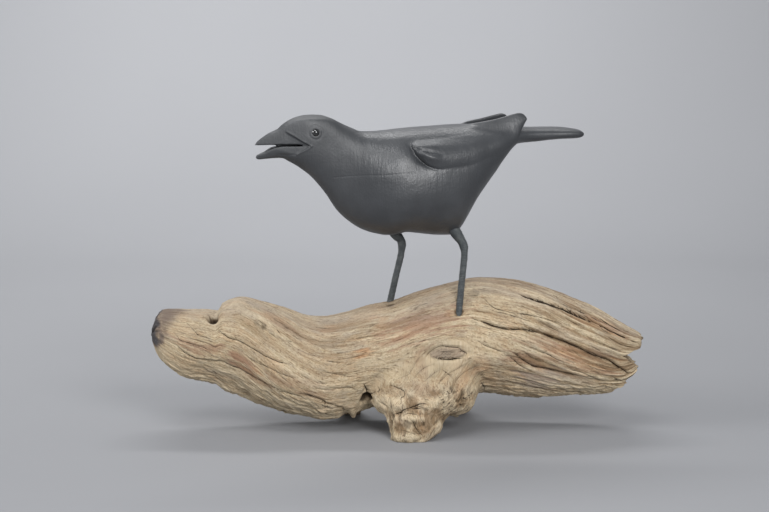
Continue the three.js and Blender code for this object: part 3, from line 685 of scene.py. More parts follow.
# The upper half of the left end is charred, and charred wood breaks into small blocks, with painted shade in
# the cracks between them.
char_edge = ring_x + 3.5 * noise(np.stack([skin_z / 7, ring_x / 9, skin_y / 9], axis=-1), 41)
charred = (1 - smooth(char_edge, -288, -280.5)) * smooth(skin_z, 102, 109)
haze = char_edge - 1.1 * np.maximum(skin_z - 130, 0)
scorched = (1 - smooth(haze, -286, -264)) * smooth(skin_z, 108, 122) * (1 - charred)
blocks = np.abs(noise(skin / 6.5, 42))
depth -= charred * (1.6 * (1 - smooth(blocks, 0.0, 0.25)) - 0.6 + 0.6 * noise(skin / 3.0, 43))
pit_shade_and_dirt = np.maximum(pit_shade_and_dirt, 0.6 * charred * (1 - smooth(blocks, 0.0, 0.22)))

# The hard knot and the charred end show less of the grain's relief.
total = height * (1 - 0.55 * in_knot) * (1 - 0.5 * charred) + depth
formed = skin + skin_normal * total[..., None]

# The overhanging flap of the left arm ends in a small downward spike, with a bay beside it.
formed_x, _, formed_z = np.moveaxis(formed, -1, 0)
formed_z -= 6.5 * (bell((formed_x + 53) / 3.2) * smooth(34 - formed_z, 0, 14) * faces_front)
formed_z += 3.5 * (bell((formed_x + 63) / 5.0) * smooth(30 - formed_z, 0, 12))

# The left end closes on a rounded, charred face, and the right one on ragged end grain.
LEFT_CAP_RINGS = 5
RIGHT_CAP_RINGS = 12
left_rim, right_rim = formed[0], formed[-1]
left_middle = left_rim.mean(axis=0) - (1.5, 0, 0)
right_centre = np.array([0.0, 6.0, 93.0])
left_shares = np.linspace(0, 1, LEFT_CAP_RINGS + 1)[1:-1]
left_cap = [left_middle + (left_rim - left_middle) * share for share in left_shares]
right_cap = []
for share in np.linspace(1, 0, RIGHT_CAP_RINGS + 1)[1:-1]:
    inner = right_centre + (right_rim - right_centre) * share
    ends = end_of_wood(inner[:, 1], inner[:, 2])
    inner[:, 0] = ends + (right_rim[:, 0] - ends) * smooth(share, 0.9, 1.0)
    right_cap.append(inner)
right_middle = right_centre + (end_of_wood(right_centre[1:2], right_centre[2:])[0], 0, 0)
all_rings = np.concatenate([np.array(left_cap), formed, np.array(right_cap)])


def capped_grid(ring_points, first_pole, last_pole):
    """Points and faces of a closed skin over rings that all have the same count."""
    ring_count, count = ring_points.shape[:2]
    points = np.concatenate([ring_points.reshape(-1, 3), [first_pole], [last_pole]])
    r, k = np.meshgrid(np.arange(ring_count - 1), np.arange(count), indexing="ij")
    a = r * count + k
    b = r * count + (k + 1) % count
    quads = np.stack([a, b, b + count, a + count], axis=-1).reshape(-1, 4).tolist()
    last = (ring_count - 1) * count
    ring = range(count)
    fans = [(len(points) - 2, (k + 1) % count, k) for k in ring]
    fans += [(len(points) - 1, last + k, last + (k + 1) % count) for k in ring]
    return points, quads + fans


def facing_out(points, faces):
    """The faces, all turned round if they enclose a negative volume."""
    corners = np.array([face[:3] for face in faces])
    a, b, c = (points[corners[:, i]] for i in range(3))
    volume = np.sum(np.cross(a, b) * c)
    return faces if volume > 0 else [tuple(reversed(face)) for face in faces]


def stretched(values, first_count, last_count):
    """A value of the skin's grid, carried on over the caps and their poles."""
    first = np.repeat(values[:1], first_count, axis=0)
    last = np.repeat(values[-1:], last_count, axis=0)
    grid = np.concatenate([first, values, last])
    flat = grid.reshape(-1, *values.shape[2:])
    return np.concatenate([flat, values[0].mean(axis=0)[None], values[-1].mean(axis=0)[None]])


log_points, log_faces = capped_grid(all_rings, left_middle, right_middle)
log_points[:, 2] = np.maximum(log_points[:, 2], 0.0)

# Stains and weathering, as x, turn, half length along the grain, half width across it, and strength.
RUST_STAINS = [
    (-39, 13.5, 9, 6, 0.8), (-10, 40.5, 12, 5, 0.5), (-83, 57.5, 10, 6, 0.5), (62, 34, 5, 4, 0.5),
    (-28, 56, 9, 4, 0.5), (200, -1.5, 24, 6, 0.6), (-172, -13, 9, 4, 0.4), (-150, 60, 16, 6, 0.5),
    (104, -22, 14, 8, 0.4), (72, -18, 8, 5, 0.4), (12, 22, 14, 5, 0.4), (232, 40, 20, 4, 0.7),
    (262, 44, 14, 5, 0.7), (250, 52, 28, 5, 0.7), (18, 30, 8, 5, 0.4), (240, -12, 20, 6, 0.4),
    (-18, 48, 5, 6, 0.4), (266, 2, 12, 6, 0.6),
]
BROWN_STAINS = [
    (-189, -6, 14, 7, 1.0), (-180, -13, 12, 6, 0.8), (-222, 6, 14, 5, 0.7), (-250, 8, 14, 7, 0.7),
    (-238, 2, 10, 5, 0.6), (-140, -12, 18, 5, 0.5), (-110, 20, 20, 8, 0.25), (-118, -8, 22, 6, 0.4),
    (28, 28, 40, 16, 0.9), (4, 34, 20, 8, 0.4), (80, -112, 26, 16, 0.5), (168, -31, 18, 8, 0.8),
    (262, 52, 22, 5, 0.6), (185, 4, 26, 8, 0.7), (150, -12, 22, 8, 0.8), (10, -26, 12, 6, 0.3),
    (-100, -18, 16, 5, 0.5), (176, -8, 26, 5, 0.6), (236, 2, 22, 5, 0.7), (250, -16, 22, 7, 0.7),
    (205, -4, 20, 4, 0.6), (-163, -20, 20, 5, 0.5), (30, -4, 12, 6, 0.3), (215, -18, 24, 8, 0.4),
    (-136, 50, 12, 5, 0.5),
]
GREY_PATCHES = [
    (175, -31, 24, 12, 1.3), (166, -26, 14, 7, 1.2), (-205, 86, 34, 30, 0.7), (-75, 38, 26, 8, 0.6),
    (-60, 24, 24, 6, 0.4), (185, 22, 26, 6, 0.4), (210, 15, 24, 5, 0.5), (-225, 66, 14, 8, 0.4),
    (80, 56, 18, 8, 0.3), (-212, -30, 22, 6, 0.4), (140, 80, 40, 16, 0.4), (-170, 80, 30, 18, 0.4),
    (250, 8, 22, 6, 0.5), (220, -30, 22, 6, 0.5),
]


def blotches(spots, seed):
    """Soft-edged patches from 0 to 1, ragged along the grain."""
    ragged = 0.5 * noise(log_grain / (24, 3.4, 3.4), seed) + 0.3 * noise(log_grain / (6, 1.5, 1.5), seed + 7)
    total = np.zeros_like(ring_x)
    for x, turn, long, wide, strength in spots:
        far = np.hypot((ring_x - x) / long, (ring_turn - turn) * MM_PER_DEGREE / wide)
        total = np.maximum(total, strength * (1 - smooth(far + ragged, 0.5, 1.5)))
    return total


rust = blotches(RUST_STAINS, 51)
brown = np.maximum(blotches(BROWN_STAINS, 53), 0.35 * in_knot)
# Upward faces are painted greyer. This is partly sun-bleaching and partly painted shade that dims the lit
# tops.
sun_grey_and_top_shade = smooth(normal_z, 0.3, 0.95) * (0.75 + 0.35 * noise(log_grain / (40, 9, 9), 54))
grey_and_top_shade = np.maximum(blotches(GREY_PATCHES, 52), np.maximum(0.6 * in_knot, 0.85 * sun_grey_and_top_shade))
# Painted light and shade: undersides are painted lighter, as if lit from below, most on the left half. The
# relief is painted darker in its hollows and lighter on its ridges.
underside_painted_light = smooth(-normal_z, 0.0, 0.6) * (1.9 - 1.4 * smooth(ring_x, 20, 120))
relief_shade = np.clip(0.5 - 0.25 * (total - np.clip(depth, -2, 2)) - 0.22 * ridge_light - 0.15 * underside_painted_light, 0, 1)

# Weathered driftwood: bare, sun-bleached side grain, pale tan with grey and brown. It has painted shade in
# its cracks, pits and hollows and painted highlight on its ribs. It is dull all over.
wood, wood_tree = new_material("weathered_driftwood")
stored = {}
for name in ("grain", "curled", "split", "wear", "stain"):
    found = add(wood_tree, "ShaderNodeAttribute", attribute_name=name)
    apart = add(wood_tree, "ShaderNodeSeparateXYZ", {"Vector": found["Vector"]})
    stored[name] = (found["Vector"], *(apart[axis] for axis in "XYZ"))
_, split_gap_at, split_wide_at, on_root_at = stored["split"]
_, pit_shade_and_dirt_at, relief_shade_at, charred_at = stored["wear"]
_, rust_at, brown_at, grey_and_top_shade_at = stored["stain"]

# Late-wood lines on this piece are about 1 mm apart, and are drawn at 1.5 mm so that they show. Each pattern
# is its length along the grain and width across it, in mm, and its detail.
GRAIN_PATTERNS = {
    "lines": (40, 1.5, 3.0),
    "hairs": (9, 1.0, 2.0),
    "grit": (2.6, 1.5, 2.0),
    "ribs": (70, 4.5, 4.0),
    "broad": (60, 24, 3.0),
    "mottle": (14, 8, 4.0),
}
pattern = {}
for name, (long_mm, wide_mm, detail) in GRAIN_PATTERNS.items():
    both = []
    for grain in ("grain", "curled"):
        stretch = add(
            wood_tree, "ShaderNodeMapping",
            {"Vector": stored[grain][0], "Scale": (1 / long_mm, 1 / wide_mm, 1 / wide_mm)},
        )
        drawn = add(
            wood_tree, "ShaderNodeTexNoise",
            {"Vector": stretch, "Scale": 1.0, "Detail": detail, "Roughness": 0.6},
        )
        both.append(drawn)
    pattern[name] = add(wood_tree, "ShaderNodeMix", {0: on_root_at, 2: both[0], 3: both[1]})

# A crack is painted dark, as the shade inside it, where the distance to it is less than its half width, with
# a ragged edge.
ragged_edge = add(
    wood_tree, "ShaderNodeMapRange",
    {"Value": pattern["hairs"], "From Min": 0.3, "From Max": 0.7, "To Min": 0.6, "To Max": 1.35},
)
crack_wide = add(wood_tree, "ShaderNodeMath", {0: split_wide_at, 1: ragged_edge}, operation="MULTIPLY")
crack_far = add(wood_tree, "ShaderNodeMath", {0: split_gap_at}, operation="ABSOLUTE")
crack_inside = add(wood_tree, "ShaderNodeMath", {0: crack_wide, 1: crack_far}, operation="SUBTRACT")

bare = add(
    wood_tree, "ShaderNodeValToRGB", {"Fac": pattern["ribs"]},
    stops=[(0.25, "#A39176"), (0.42, "#AF9E82"), (0.6, "#B9A88C"), (0.8, "#C2B297")],
)
surface = bare
# Each coat lies over those before it: what it follows, where that starts and ends, its strength and colour.
# The coats that follow the relief shade are painted shade in hollows and painted highlight on ridges. Those
# that follow the pits and the cracks are painted shade.
COATS = [
    (pattern["lines"], 0.5, 0.3, 0.6, "#87714F"), (pattern["lines"], 0.52, 0.72, 0.45, "#D2C3A6"),
    (pattern["broad"], 0.45, 0.66, 0.35, "#A98A6C"), (pattern["mottle"], 0.5, 0.72, 0.45, "#9B9284"),
    (pattern["mottle"], 0.47, 0.28, 0.4, "#AF8C6C"), (pattern["grit"], 0.45, 0.27, 0.75, "#6F5A41"),
    (pattern["grit"], 0.55, 0.75, 0.5, "#DCCFB4"), (rust_at, 0.0, 1.0, 0.5, "#B87F50"),
    (brown_at, 0.0, 1.0, 0.75, "#876450"), (grey_and_top_shade_at, 0.0, 1.0, 0.6, "#877E75"),
    (relief_shade_at, 0.52, 0.95, 0.6, "#6E553A"), (relief_shade_at, 0.42, 0.1, 0.3, "#DBCCB0"),
    (pattern["hairs"], 0.56, 0.68, 0.7, "#624E37"), (charred_at, 0.0, 0.5, 0.8, "#61544E"),
    (charred_at, 0.5, 1.0, 0.93, "#494749"), (pit_shade_and_dirt_at, 0.05, 0.9, 0.92, "#2E241A"),
    (crack_inside, 0.0, 0.35, 0.93, "#2B2118"),
]
for follows, starts, ends, strength, colour in COATS:
    share = add(
        wood_tree, "ShaderNodeMapRange",
        {"Value": follows, "From Min": starts, "From Max": ends, "To Min": 0.0, "To Max": strength},
    )
    coat = add(wood_tree, "ShaderNodeMix", {0: share, 6: surface, 7: linear(colour)}, data_type="RGBA")
    surface = coat[2]
# Its fine relief is that of the lines, the ribs, the hairs and the grit, less the cracks.
relief = add(
    wood_tree, "ShaderNodeMapRange",
    {"Value": crack_inside, "From Min": 0.0, "From Max": 0.4, "To Min": 0.0, "To Max": -0.9},
)
for name, strength in {"lines": 0.8, "ribs": 0.4, "hairs": 0.6, "grit": 0.9}.items():
    scaled = {0: pattern[name], 1: strength, 2: relief}
    relief = add(wood_tree, "ShaderNodeMath", scaled, operation="MULTIPLY_ADD")
wood_bump = add(wood_tree, "ShaderNodeBump", {"Height": relief, "Strength": 0.7, "Distance": 0.0012})
wood_skin = add(
    wood_tree, "ShaderNodeBsdfPrincipled",
    {"Base Color": surface, "Roughness": 0.88, "Specular IOR Level": 0.25, "Normal": wood_bump},
)
add(wood_tree, "ShaderNodeOutputMaterial", {"Surface": wood_skin})

base = mesh_piece("driftwood_log", log_points + log_origin, facing_out(log_points, log_faces), wood)
LOG_VALUES = {
    "grain": log_grain,
    "curled": root_grain,
    "split": np.stack([split_gap, split_wide, on_root], axis=-1),
    "wear": np.stack([pit_shade_and_dirt, relief_shade, np.maximum(0.5 * scorched, charred)], axis=-1),
    "stain": np.stack([rust, brown, grey_and_top_shade], axis=-1),
}
for name, values in LOG_VALUES.items():
    attribute = base.data.attributes.new(name, "FLOAT_VECTOR", "POINT")
    carried = stretched(values, LEFT_CAP_RINGS - 1, RIGHT_CAP_RINGS - 1)
    attribute.data.foreach_set("vector", carried.astype(np.float32).ravel())
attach(base, "root")
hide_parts("driftwood_base")

# ---- Legs ----
# Two bent iron rods, whipped from end to end with waxed cord and painted over, so the turns show as soft
# ribs. They are thick where they leave the crow, and are let into drilled holes in the log.
ROD_RADIUS = 4.2  # mm
# Each row is its number down the leg, then x, y, z and radius in mm, in the log's own frame.
LEG_ROUTES = {
    "left_leg": [
        (0, 62.5, -13.5, 252, 7.6), (1, 70.2, -14.5, 240.6, 7.0), (2, 76.6, -17, 231.2, 5.4),
        (3, 78.8, -18.8, 225.6, 5.4), (4, 79.4, -20.3, 217.5, ROD_RADIUS), (5, 75.9, -24, 181, ROD_RADIUS),
        (6, 73.0, -27.2, 147.5, ROD_RADIUS),
    ],
    "right_leg": [
        (0, -9.5, 13, 247, 7.4), (1, -1.6, 15, 235.6, 6.6), (2, 4.2, 17.2, 228.6, 5.2),
        (3, 5.6, 18.8, 222.4, 5.3), (4, 4.8, 20, 213.4, ROD_RADIUS), (5, -2.6, 23.4, 180, ROD_RADIUS),
        (6, -9.2, 26.5, 149.5, ROD_RADIUS),
    ],
}
CORD_RADIUS = 0.95  # mm
CORD_SPACING = 1.9
SUNK = 12.0  # how far the winding goes on into its hole
POINTS_PER_TURN = 14.0

# Matte dark paint over cord: grey-green, mottled lighter and darker in small patches.
leg_paint, leg_tree = new_material("matte_paint_over_cord")
leg_spots = add(leg_tree, "ShaderNodeTexCoord")
leg_cloud = add(
    leg_tree, "ShaderNodeTexNoise",
    {"Vector": leg_spots["Object"], "Scale": 160.0, "Detail": 4.0, "Roughness": 0.6},
)
leg_shade = add(
    leg_tree, "ShaderNodeValToRGB", {"Fac": leg_cloud},
    stops=[(0.3, "#3C4043"), (0.55, "#4D5152"), (0.75, "#5F6261")],
)
leg_fibre = add(
    leg_tree, "ShaderNodeTexNoise", {"Vector": leg_spots["Object"], "Scale": 1400.0, "Detail": 2.0}
)
leg_bump = add(leg_tree, "ShaderNodeBump", {"Height": leg_fibre, "Strength": 0.35, "Distance": 0.0003})
leg_skin = add(
    leg_tree, "ShaderNodeBsdfPrincipled", {"Base Color": leg_shade, "Roughness": 0.68, "Normal": leg_bump}
)
add(leg_tree, "ShaderNodeOutputMaterial", {"Surface": leg_skin})

# The winding follows the middle line of a rod: each point of the line is moved out to the rod's skin and
# turned round it as far as the length run so far says, then the line is swept with the cord's section.
winding = bpy.data.node_groups.new("cord_winding", "GeometryNodeTree")
winding.interface.new_socket("Middle line", in_out="INPUT", socket_type="NodeSocketGeometry")
for label in ("Cord radius", "Turn spacing", "Points per turn", "Seed"):
    winding.interface.new_socket(label, in_out="INPUT", socket_type="NodeSocketFloat")
winding.interface.new_socket("Wound leg", in_out="OUTPUT", socket_type="NodeSocketGeometry")
given = add(winding, "NodeGroupInput")
line = add(winding, "GeometryNodeMeshToCurve", {"Mesh": given["Middle line"]})
step_length = add(
    winding, "ShaderNodeMath", {0: given["Turn spacing"], 1: given["Points per turn"]}, operation="DIVIDE"
)
fine_line = add(winding, "GeometryNodeResampleCurve", {"Curve": line, "Length": step_length}, mode="LENGTH")
run = add(winding, "GeometryNodeSplineParameter")
turns = add(winding, "ShaderNodeMath", {0: run["Length"], 1: given["Turn spacing"]}, operation="DIVIDE")
angle = add(winding, "ShaderNodeMath", {0: turns, 1: 2 * math.pi}, operation="MULTIPLY")
tangent = add(winding, "GeometryNodeInputTangent")
normal = add(winding, "GeometryNodeInputNormal")
aside = add(winding, "ShaderNodeVectorMath", {0: tangent, 1: normal}, operation="CROSS_PRODUCT")
cosine = add(winding, "ShaderNodeMath", {0: angle}, operation="COSINE")
sine = add(winding, "ShaderNodeMath", {0: angle}, operation="SINE")
rod_radius = add(winding, "GeometryNodeInputNamedAttribute", {"Name": "rod_radius"}, data_type="FLOAT")
place = add(winding, "GeometryNodeInputPosition")
uneven = add(
    winding, "ShaderNodeTexNoise", {"Vector": place, "W": given["Seed"], "Scale": 260.0, "Detail": 1.0},
    noise_dimensions="4D",
)
slack = add(
    winding, "ShaderNodeMapRange",
    {"Value": uneven, "From Min": 0.3, "From Max": 0.7, "To Min": -0.00022, "To Max": 0.00022},
)
cord_middle = add(winding, "ShaderNodeMath", {0: rod_radius, 1: given["Cord radius"]}, operation="SUBTRACT")
loose_middle = add(winding, "ShaderNodeMath", {0: cord_middle, 1: slack}, operation="ADD")
out_along = add(winding, "ShaderNodeVectorMath", {0: normal, "Scale": cosine}, operation="SCALE")
out_aside = add(winding, "ShaderNodeVectorMath", {0: aside, "Scale": sine}, operation="SCALE")
out = add(winding, "ShaderNodeVectorMath", {0: out_along, 1: out_aside}, operation="ADD")
offset = add(winding, "ShaderNodeVectorMath", {0: out, "Scale": loose_middle}, operation="SCALE")
helix = add(winding, "GeometryNodeSetPosition", {"Geometry": fine_line, "Offset": offset})
cord_section = add(
    winding, "GeometryNodeCurvePrimitiveCircle", {"Resolution": 7, "Radius": given["Cord radius"]},
    mode="RADIUS",
)
cord = add(
    winding, "GeometryNodeCurveToMesh", {"Curve": helix, "Profile Curve": cord_section, "Fill Caps": True}
)
rod_section = add(
    winding, "GeometryNodeCurvePrimitiveCircle", {"Resolution": 22, "Radius": 1.06}, mode="RADIUS"
)
rod = add(
    winding, "GeometryNodeCurveToMesh",
    {"Curve": line, "Profile Curve": rod_section, "Scale": cord_middle, "Fill Caps": True},
)
joined = add(winding, "GeometryNodeJoinGeometry", {"Geometry": [cord, rod]})
rounded = add(winding, "GeometryNodeSetShadeSmooth", {"Geometry": joined})
solid_leg = add(winding, "GeometryNodeRealizeInstances", {"Geometry": rounded})
painted = add(winding, "GeometryNodeSetMaterial", {"Geometry": solid_leg, "Material": leg_paint})
add(winding, "NodeGroupOutput", {"Wound leg": painted})


def baked(piece):
    """The piece with its modifiers worked out into a plain mesh."""
    depsgraph = bpy.context.evaluated_depsgraph_get()
    mesh = bpy.data.meshes.new_from_object(piece.evaluated_get(depsgraph))
    piece.modifiers.clear()
    piece.data = mesh
    return piece


for number, (node, route) in enumerate(LEG_ROUTES.items()):
    route_at = through(route)
    middle_line = route_at(np.linspace(0, len(route) - 1, 90))
    down = unit(middle_line[-1, :3] - middle_line[-2, :3])
    sunk_end = np.append(middle_line[-1, :3] + down * SUNK, ROD_RADIUS)
    middle_line = np.concatenate([middle_line, [sunk_end]])
    line_mesh = bpy.data.meshes.new(node + "_wound")
    spots = (middle_line[:, :3] + log_origin) / 1000
    line_mesh.from_pydata(spots.tolist(), [(i, i + 1) for i in range(len(spots) - 1)], [])
    radii = line_mesh.attributes.new("rod_radius", "FLOAT", "POINT")
    radii.data.foreach_set("value", (middle_line[:, 3] / 1000).astype(np.float32))
    leg = bpy.data.objects.new(node + "_wound", line_mesh)
    bpy.context.scene.collection.objects.link(leg)
    wound = leg.modifiers.new("winding", "NODES")
    wound.node_group = winding
    sizes_given = {
        "Cord radius": CORD_RADIUS / 1000, "Turn spacing": CORD_SPACING / 1000,
        "Points per turn": POINTS_PER_TURN, "Seed": float(number),
    }
    for item in winding.interface.items_tree:
        if item.name in sizes_given:
            wound[item.identifier] = sizes_given[item.name]
    baked(leg)
    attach(leg, "root")
    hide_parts(node)

# ---- Crow ----
# The crow is carved from wood in one piece, with an open bill, folded wings whose tips stand clear of the
# rump, and a flat tail. The head and bill are planed to flat facets, and all of it is painted satin black.

# Each row is x, back, belly, half width, level of the widest point, squareness above it and below it, in mm.
CROW_STATIONS = [
    (-217, 114.8, 98.6, 1.5, 112, 2.4, 2.2), (-212, 120.0, 98.1, 3.4, 113, 2.4, 2.2),
    (-200, 128.2, 98.9, 7.0, 114, 2.4, 2.2), (-188, 133.8, 99.4, 10.6, 114, 2.5, 2.2),
    (-182, 138.6, 98.6, 12.6, 114, 2.6, 2.2), (-174, 143.3, 94.4, 15.5, 114, 2.7, 2.2),
    (-166, 146.7, 89.8, 18.0, 115, 2.8, 2.2), (-157, 148.6, 83.5, 20.3, 116, 2.8, 2.2),
    (-149, 149.0, 77.2, 21.6, 116, 2.7, 2.2), (-137, 148.3, 64.2, 22.8, 114, 2.5, 2.2),
    (-127, 145.2, 51.0, 24.0, 108, 2.4, 2.2), (-115, 139.3, 34.0, 26.8, 94, 2.3, 2.2),
    (-100, 132.5, 20.4, 33.2, 82, 2.25, 2.2), (-87, 127.9, 12.6, 40.2, 74, 2.2, 2.2),
    (-71, 127.5, 6.8, 47.6, 69, 2.15, 2.2), (-57, 128.3, 4.0, 52.6, 67, 2.15, 2.2),
    (-45, 129.3, 5.2, 55.4, 66, 2.15, 2.2), (-34, 130.0, 6.6, 56.6, 66, 2.15, 2.2),
    (-20, 130.9, 5.0, 57.0, 67, 2.15, 2.2), (-6, 131.6, 2.9, 56.6, 68, 2.15, 2.2),
    (10, 132.4, 1.2, 55.4, 71, 2.15, 2.2), (22, 132.8, 1.0, 54.0, 75, 2.15, 2.2),
    (30, 133.1, 5.0, 52.8, 78, 2.15, 2.1), (38, 133.3, 16.5, 51.2, 83, 2.15, 2.0),
    (51, 133.0, 39.0, 47.6, 91, 2.2, 2.0), (63, 132.3, 55.5, 44.0, 98, 2.2, 2.0),
    (75, 131.2, 71.5, 39.8, 104, 2.25, 2.0), (87, 131.1, 88.0, 34.9, 110, 2.3, 2.0),
    (97, 130.2, 101.0, 30.6, 114, 2.3, 2.1), (106, 129.2, 107.6, 26.8, 117.5, 2.3, 2.3),
    (115, 128.4, 109.0, 24.4, 118.5, 2.3, 2.5), (130, 127.6, 110.2, 22.8, 119, 2.3, 2.8),
    (150, 127.2, 111.4, 22.6, 119, 2.3, 2.8), (170, 126.4, 112.6, 23.6, 119, 2.4, 2.8),
    (182, 124.8, 112.9, 23.4, 118.8, 2.6, 2.8), (190, 123.2, 113.6, 20.5, 118.4, 2.7, 2.8),
    (194, 121.2, 114.8, 15.0, 118, 2.8, 2.8),
]
crow_at = through(CROW_STATIONS)
# A shallow hollow under the wing's shoulder.
HOLLOW = {"x": -30, "z": 92, "reach_x": 14, "reach_z": 14, "depth": 2.2}
# A gouge mark follows the front of the wing: where it runs, by height, and how deep and wide it is.
GOUGE_RUN = [(80, 8), (83, -3), (88, -17), (95, -26.5), (104, -33), (112, -36.5), (122, -39)]
GOUGE = {"half_width": 8.0, "depth": 3.6}
FACET_FALL = (0.42, 0.27)  # how steeply the flat on each side falls away, on the bill and on the crown
FACET_BLEND = 0.4
FULL_SIDE = 1.3  # how much squarer the head is than the body


def crow_surface(x, turn):
    """The crow's skin without its wings, in its own frame."""
    back, belly, half, widest, above, below = np.moveaxis(crow_at(x), -1, 0)
    planed = 1 - smooth(x, -152, -120)
    flat_sided = 1 - smooth(x, -142, -98)
    c = np.cos(turn)
    s = np.sin(turn)
    power = 2 / np.where(s > 0, above + FULL_SIDE * flat_sided, below)
    z = widest + np.where(s > 0, back - widest, widest - belly) * bent(s, power)
    y = half * bent(c, power)
    fall = FACET_FALL[0] + (FACET_FALL[1] - FACET_FALL[0]) * smooth(x, -216, -164)
    flat = back - fall * np.sqrt(y * y + 0.8)
    lower_of = 0.5 * (z + flat - np.hypot(z - flat, FACET_BLEND))
    z = z + (lower_of - z) * planed
    dx = (x - HOLLOW["x"]) / HOLLOW["reach_x"]
    dz = (z - HOLLOW["z"]) / HOLLOW["reach_z"]
    hollow = HOLLOW["depth"] * np.exp(-(dx * dx + dz * dz))
    run = np.interp(z, *zip(*GOUGE_RUN))
    on_run = smooth(z, 82, 93) * (1 - smooth(z, 110, 122))
    hollow = hollow + GOUGE["depth"] * on_run * bell((x - run) / GOUGE["half_width"])
    return np.stack([x + 0 * y, y - np.sign(c) * hollow * np.abs(c), z], axis=-1)


def crow_half_width(x, z):
    """Half the body's width at a height behind the neck, for laying the wing on it."""
    back, belly, half, widest, above, below = np.moveaxis(crow_at(x), -1, 0)
    share = np.where(z > widest, (z - widest) / (back - widest), (widest - z) / (widest - belly))
    power = np.where(z > widest, above, below)
    return half * (1 - np.clip(share, 0, 1) ** power) ** (1 / power)


# The folded right wing. Each row is x, upper edge, lower edge, how far it stands out from the body, its
# distance from the middle where it is free of the body, at its upper and its lower edge, and its thickness.
WING_STATIONS = [
    (-38, 115, 109, 2.2, 20, 40, 12), (-35, 119, 103, 6.4, 20, 40, 14), (-29, 122, 96, 8.6, 20, 40, 16),
    (-20, 124, 88.8, 8.2, 20, 40, 16), (-6, 126, 84.6, 6.4, 20, 41, 16), (18, 129, 84.6, 4.6, 21, 42, 16),
    (42, 133.4, 87.4, 3.0, 23, 42, 13), (60, 137.0, 91.8, 1.8, 24, 40, 10),
    (75, 139.8, 96.6, 2.2, 24.5, 37, 8), (88, 142.9, 103.6, 1.6, 24.5, 33.5, 6.5),
    (98, 145.3, 113.5, 1.2, 24.5, 30.5, 6), (105, 146.4, 124.0, 1.0, 24, 28, 5.5),
    (111, 144.8, 133.0, 1.0, 23.5, 26, 5), (114, 141.4, 137.6, 1.0, 23.5, 24.8, 3.5),
]
wing_at = through(WING_STATIONS)
RIGHT_WING_SHORT = 5.5  # mm, at its tip, less than the left wing
RIGHT_WING_LOW = 3.1


def wing_surface(x, turn):
    """The skin of the right wing, in the crow's own frame."""
    upper, lower, proud, near, far, thick = np.moveaxis(wing_at(x), -1, 0)
    share = 0.5 - 0.5 * bent(np.cos(turn), 0.7)
    z = upper + (lower - upper) * share
    on_body = crow_half_width(x, z) + proud * smooth(share, 0.05, 0.5) * (1 - 0.6 * smooth(share, 0.55, 1.0))
    free = near + (far - near) * share + 8 * share * (1 - share)
    clear = 0.5 * (on_body + free + np.hypot(on_body - free, 3)) - 0.6
    outer = on_body + (clear - on_body) * smooth(x, 20, 60)
    return np.stack([x + 0 * z, outer + 0.5 * thick * (bent(np.sin(turn), 0.5) - 1), z], axis=-1)


def loft(surface, stations, count):
    """Points and outward faces of a closed skin: a ring every 1.5 mm, each of that many points."""
    first, last = stations[0][0], stations[-1][0]
    stops = np.append(np.arange(first, last - 1, 1.5), last)
    x, turn = np.meshgrid(stops, 2 * np.pi * (np.arange(count) + 0.5) / count, indexing="ij")
    ring_points = surface(x, turn)
    points, faces = capped_grid(ring_points, ring_points[0].mean(axis=0), ring_points[-1].mean(axis=0))
    return points, facing_out(points, faces)


def in_place(points):
    """From the crow's own frame to the frame of the whole piece, in mm."""
    return points @ crow_turn + crow_origin


CARVING_STEP = 0.85  # mm
body_points, body_faces = loft(crow_surface, CROW_STATIONS, 150)
left_points, wing_faces = loft(wing_surface, WING_STATIONS, 90)
right_points = left_points.copy()
tipward = smooth(right_points[:, 0], 20, WING_STATIONS[-1][0])
right_points[:, 0] -= RIGHT_WING_SHORT * tipward
right_points[:, 2] -= RIGHT_WING_LOW * tipward
left_points = left_points * (1, -1, 1)

# The open mouth from the side. In front it is cut right through; behind that a slot is cut from each side,
# back to the corner of the mouth, and a web of wood is left in the middle.
GAPE = (-154.4, 113.6)
MOUTH = [
    (-226, 114.7), (-210, 114.7), (-199, 115.1), (-192, 114.4), (-185.5, 112.9), (-191, 112.1),
    (-194.7, 111.2), (-198.8, 109.4), (-203.3, 107), (-210, 104.3), (-212.6, 103.4), (-214, 102),
    (-214.4, 100.6), (-213.6, 99.2), (-211.5, 98.2), (-211, 95), (-226, 95),
]
MOUTH_SLOT = [
    (-196, 115.1), (-186, 115.8), (-172, 115.6), (-160, 114.7), GAPE, (-162, 113.3), (-176, 113.2),
    (-192, 113),
]
WEB_HALF = 2.5
CLEAR = 60.0  # mm to each side, well past the wood
# The bill's side is cut flat up to a V that points back at the corner of the mouth.
BILL_SIDE = [
    (-230, 165), (-185, 165), (-184, 139), (-180.3, 129), GAPE, (-169.5, 105), (-178, 99), (-230, 84)
]
BILL_TIP = (-217, 1.6)
BILL_BACK = (-150, 19.8)


def prism(outline, near_side, far_side):
    """Points and outward faces of an outline in x and z, pushed from one y to another."""
    count = len(outline)
    points = [(x, side(x), z) for side in (near_side, far_side) for x, z in outline]
    faces = [tuple(range(count)), tuple(range(2 * count - 1, count - 1, -1))]
    faces += [(i, count + i, count + (i + 1) % count, (i + 1) % count) for i in range(count)]
    return np.array(points, float), faces


def bill_half(x):
    """Half the bill's width where its sides are cut flat."""
    share = (x - BILL_TIP[0]) / (BILL_BACK[0] - BILL_TIP[0])
    return max(BILL_TIP[1] + (BILL_BACK[1] - BILL_TIP[1]) * share, 0.4)


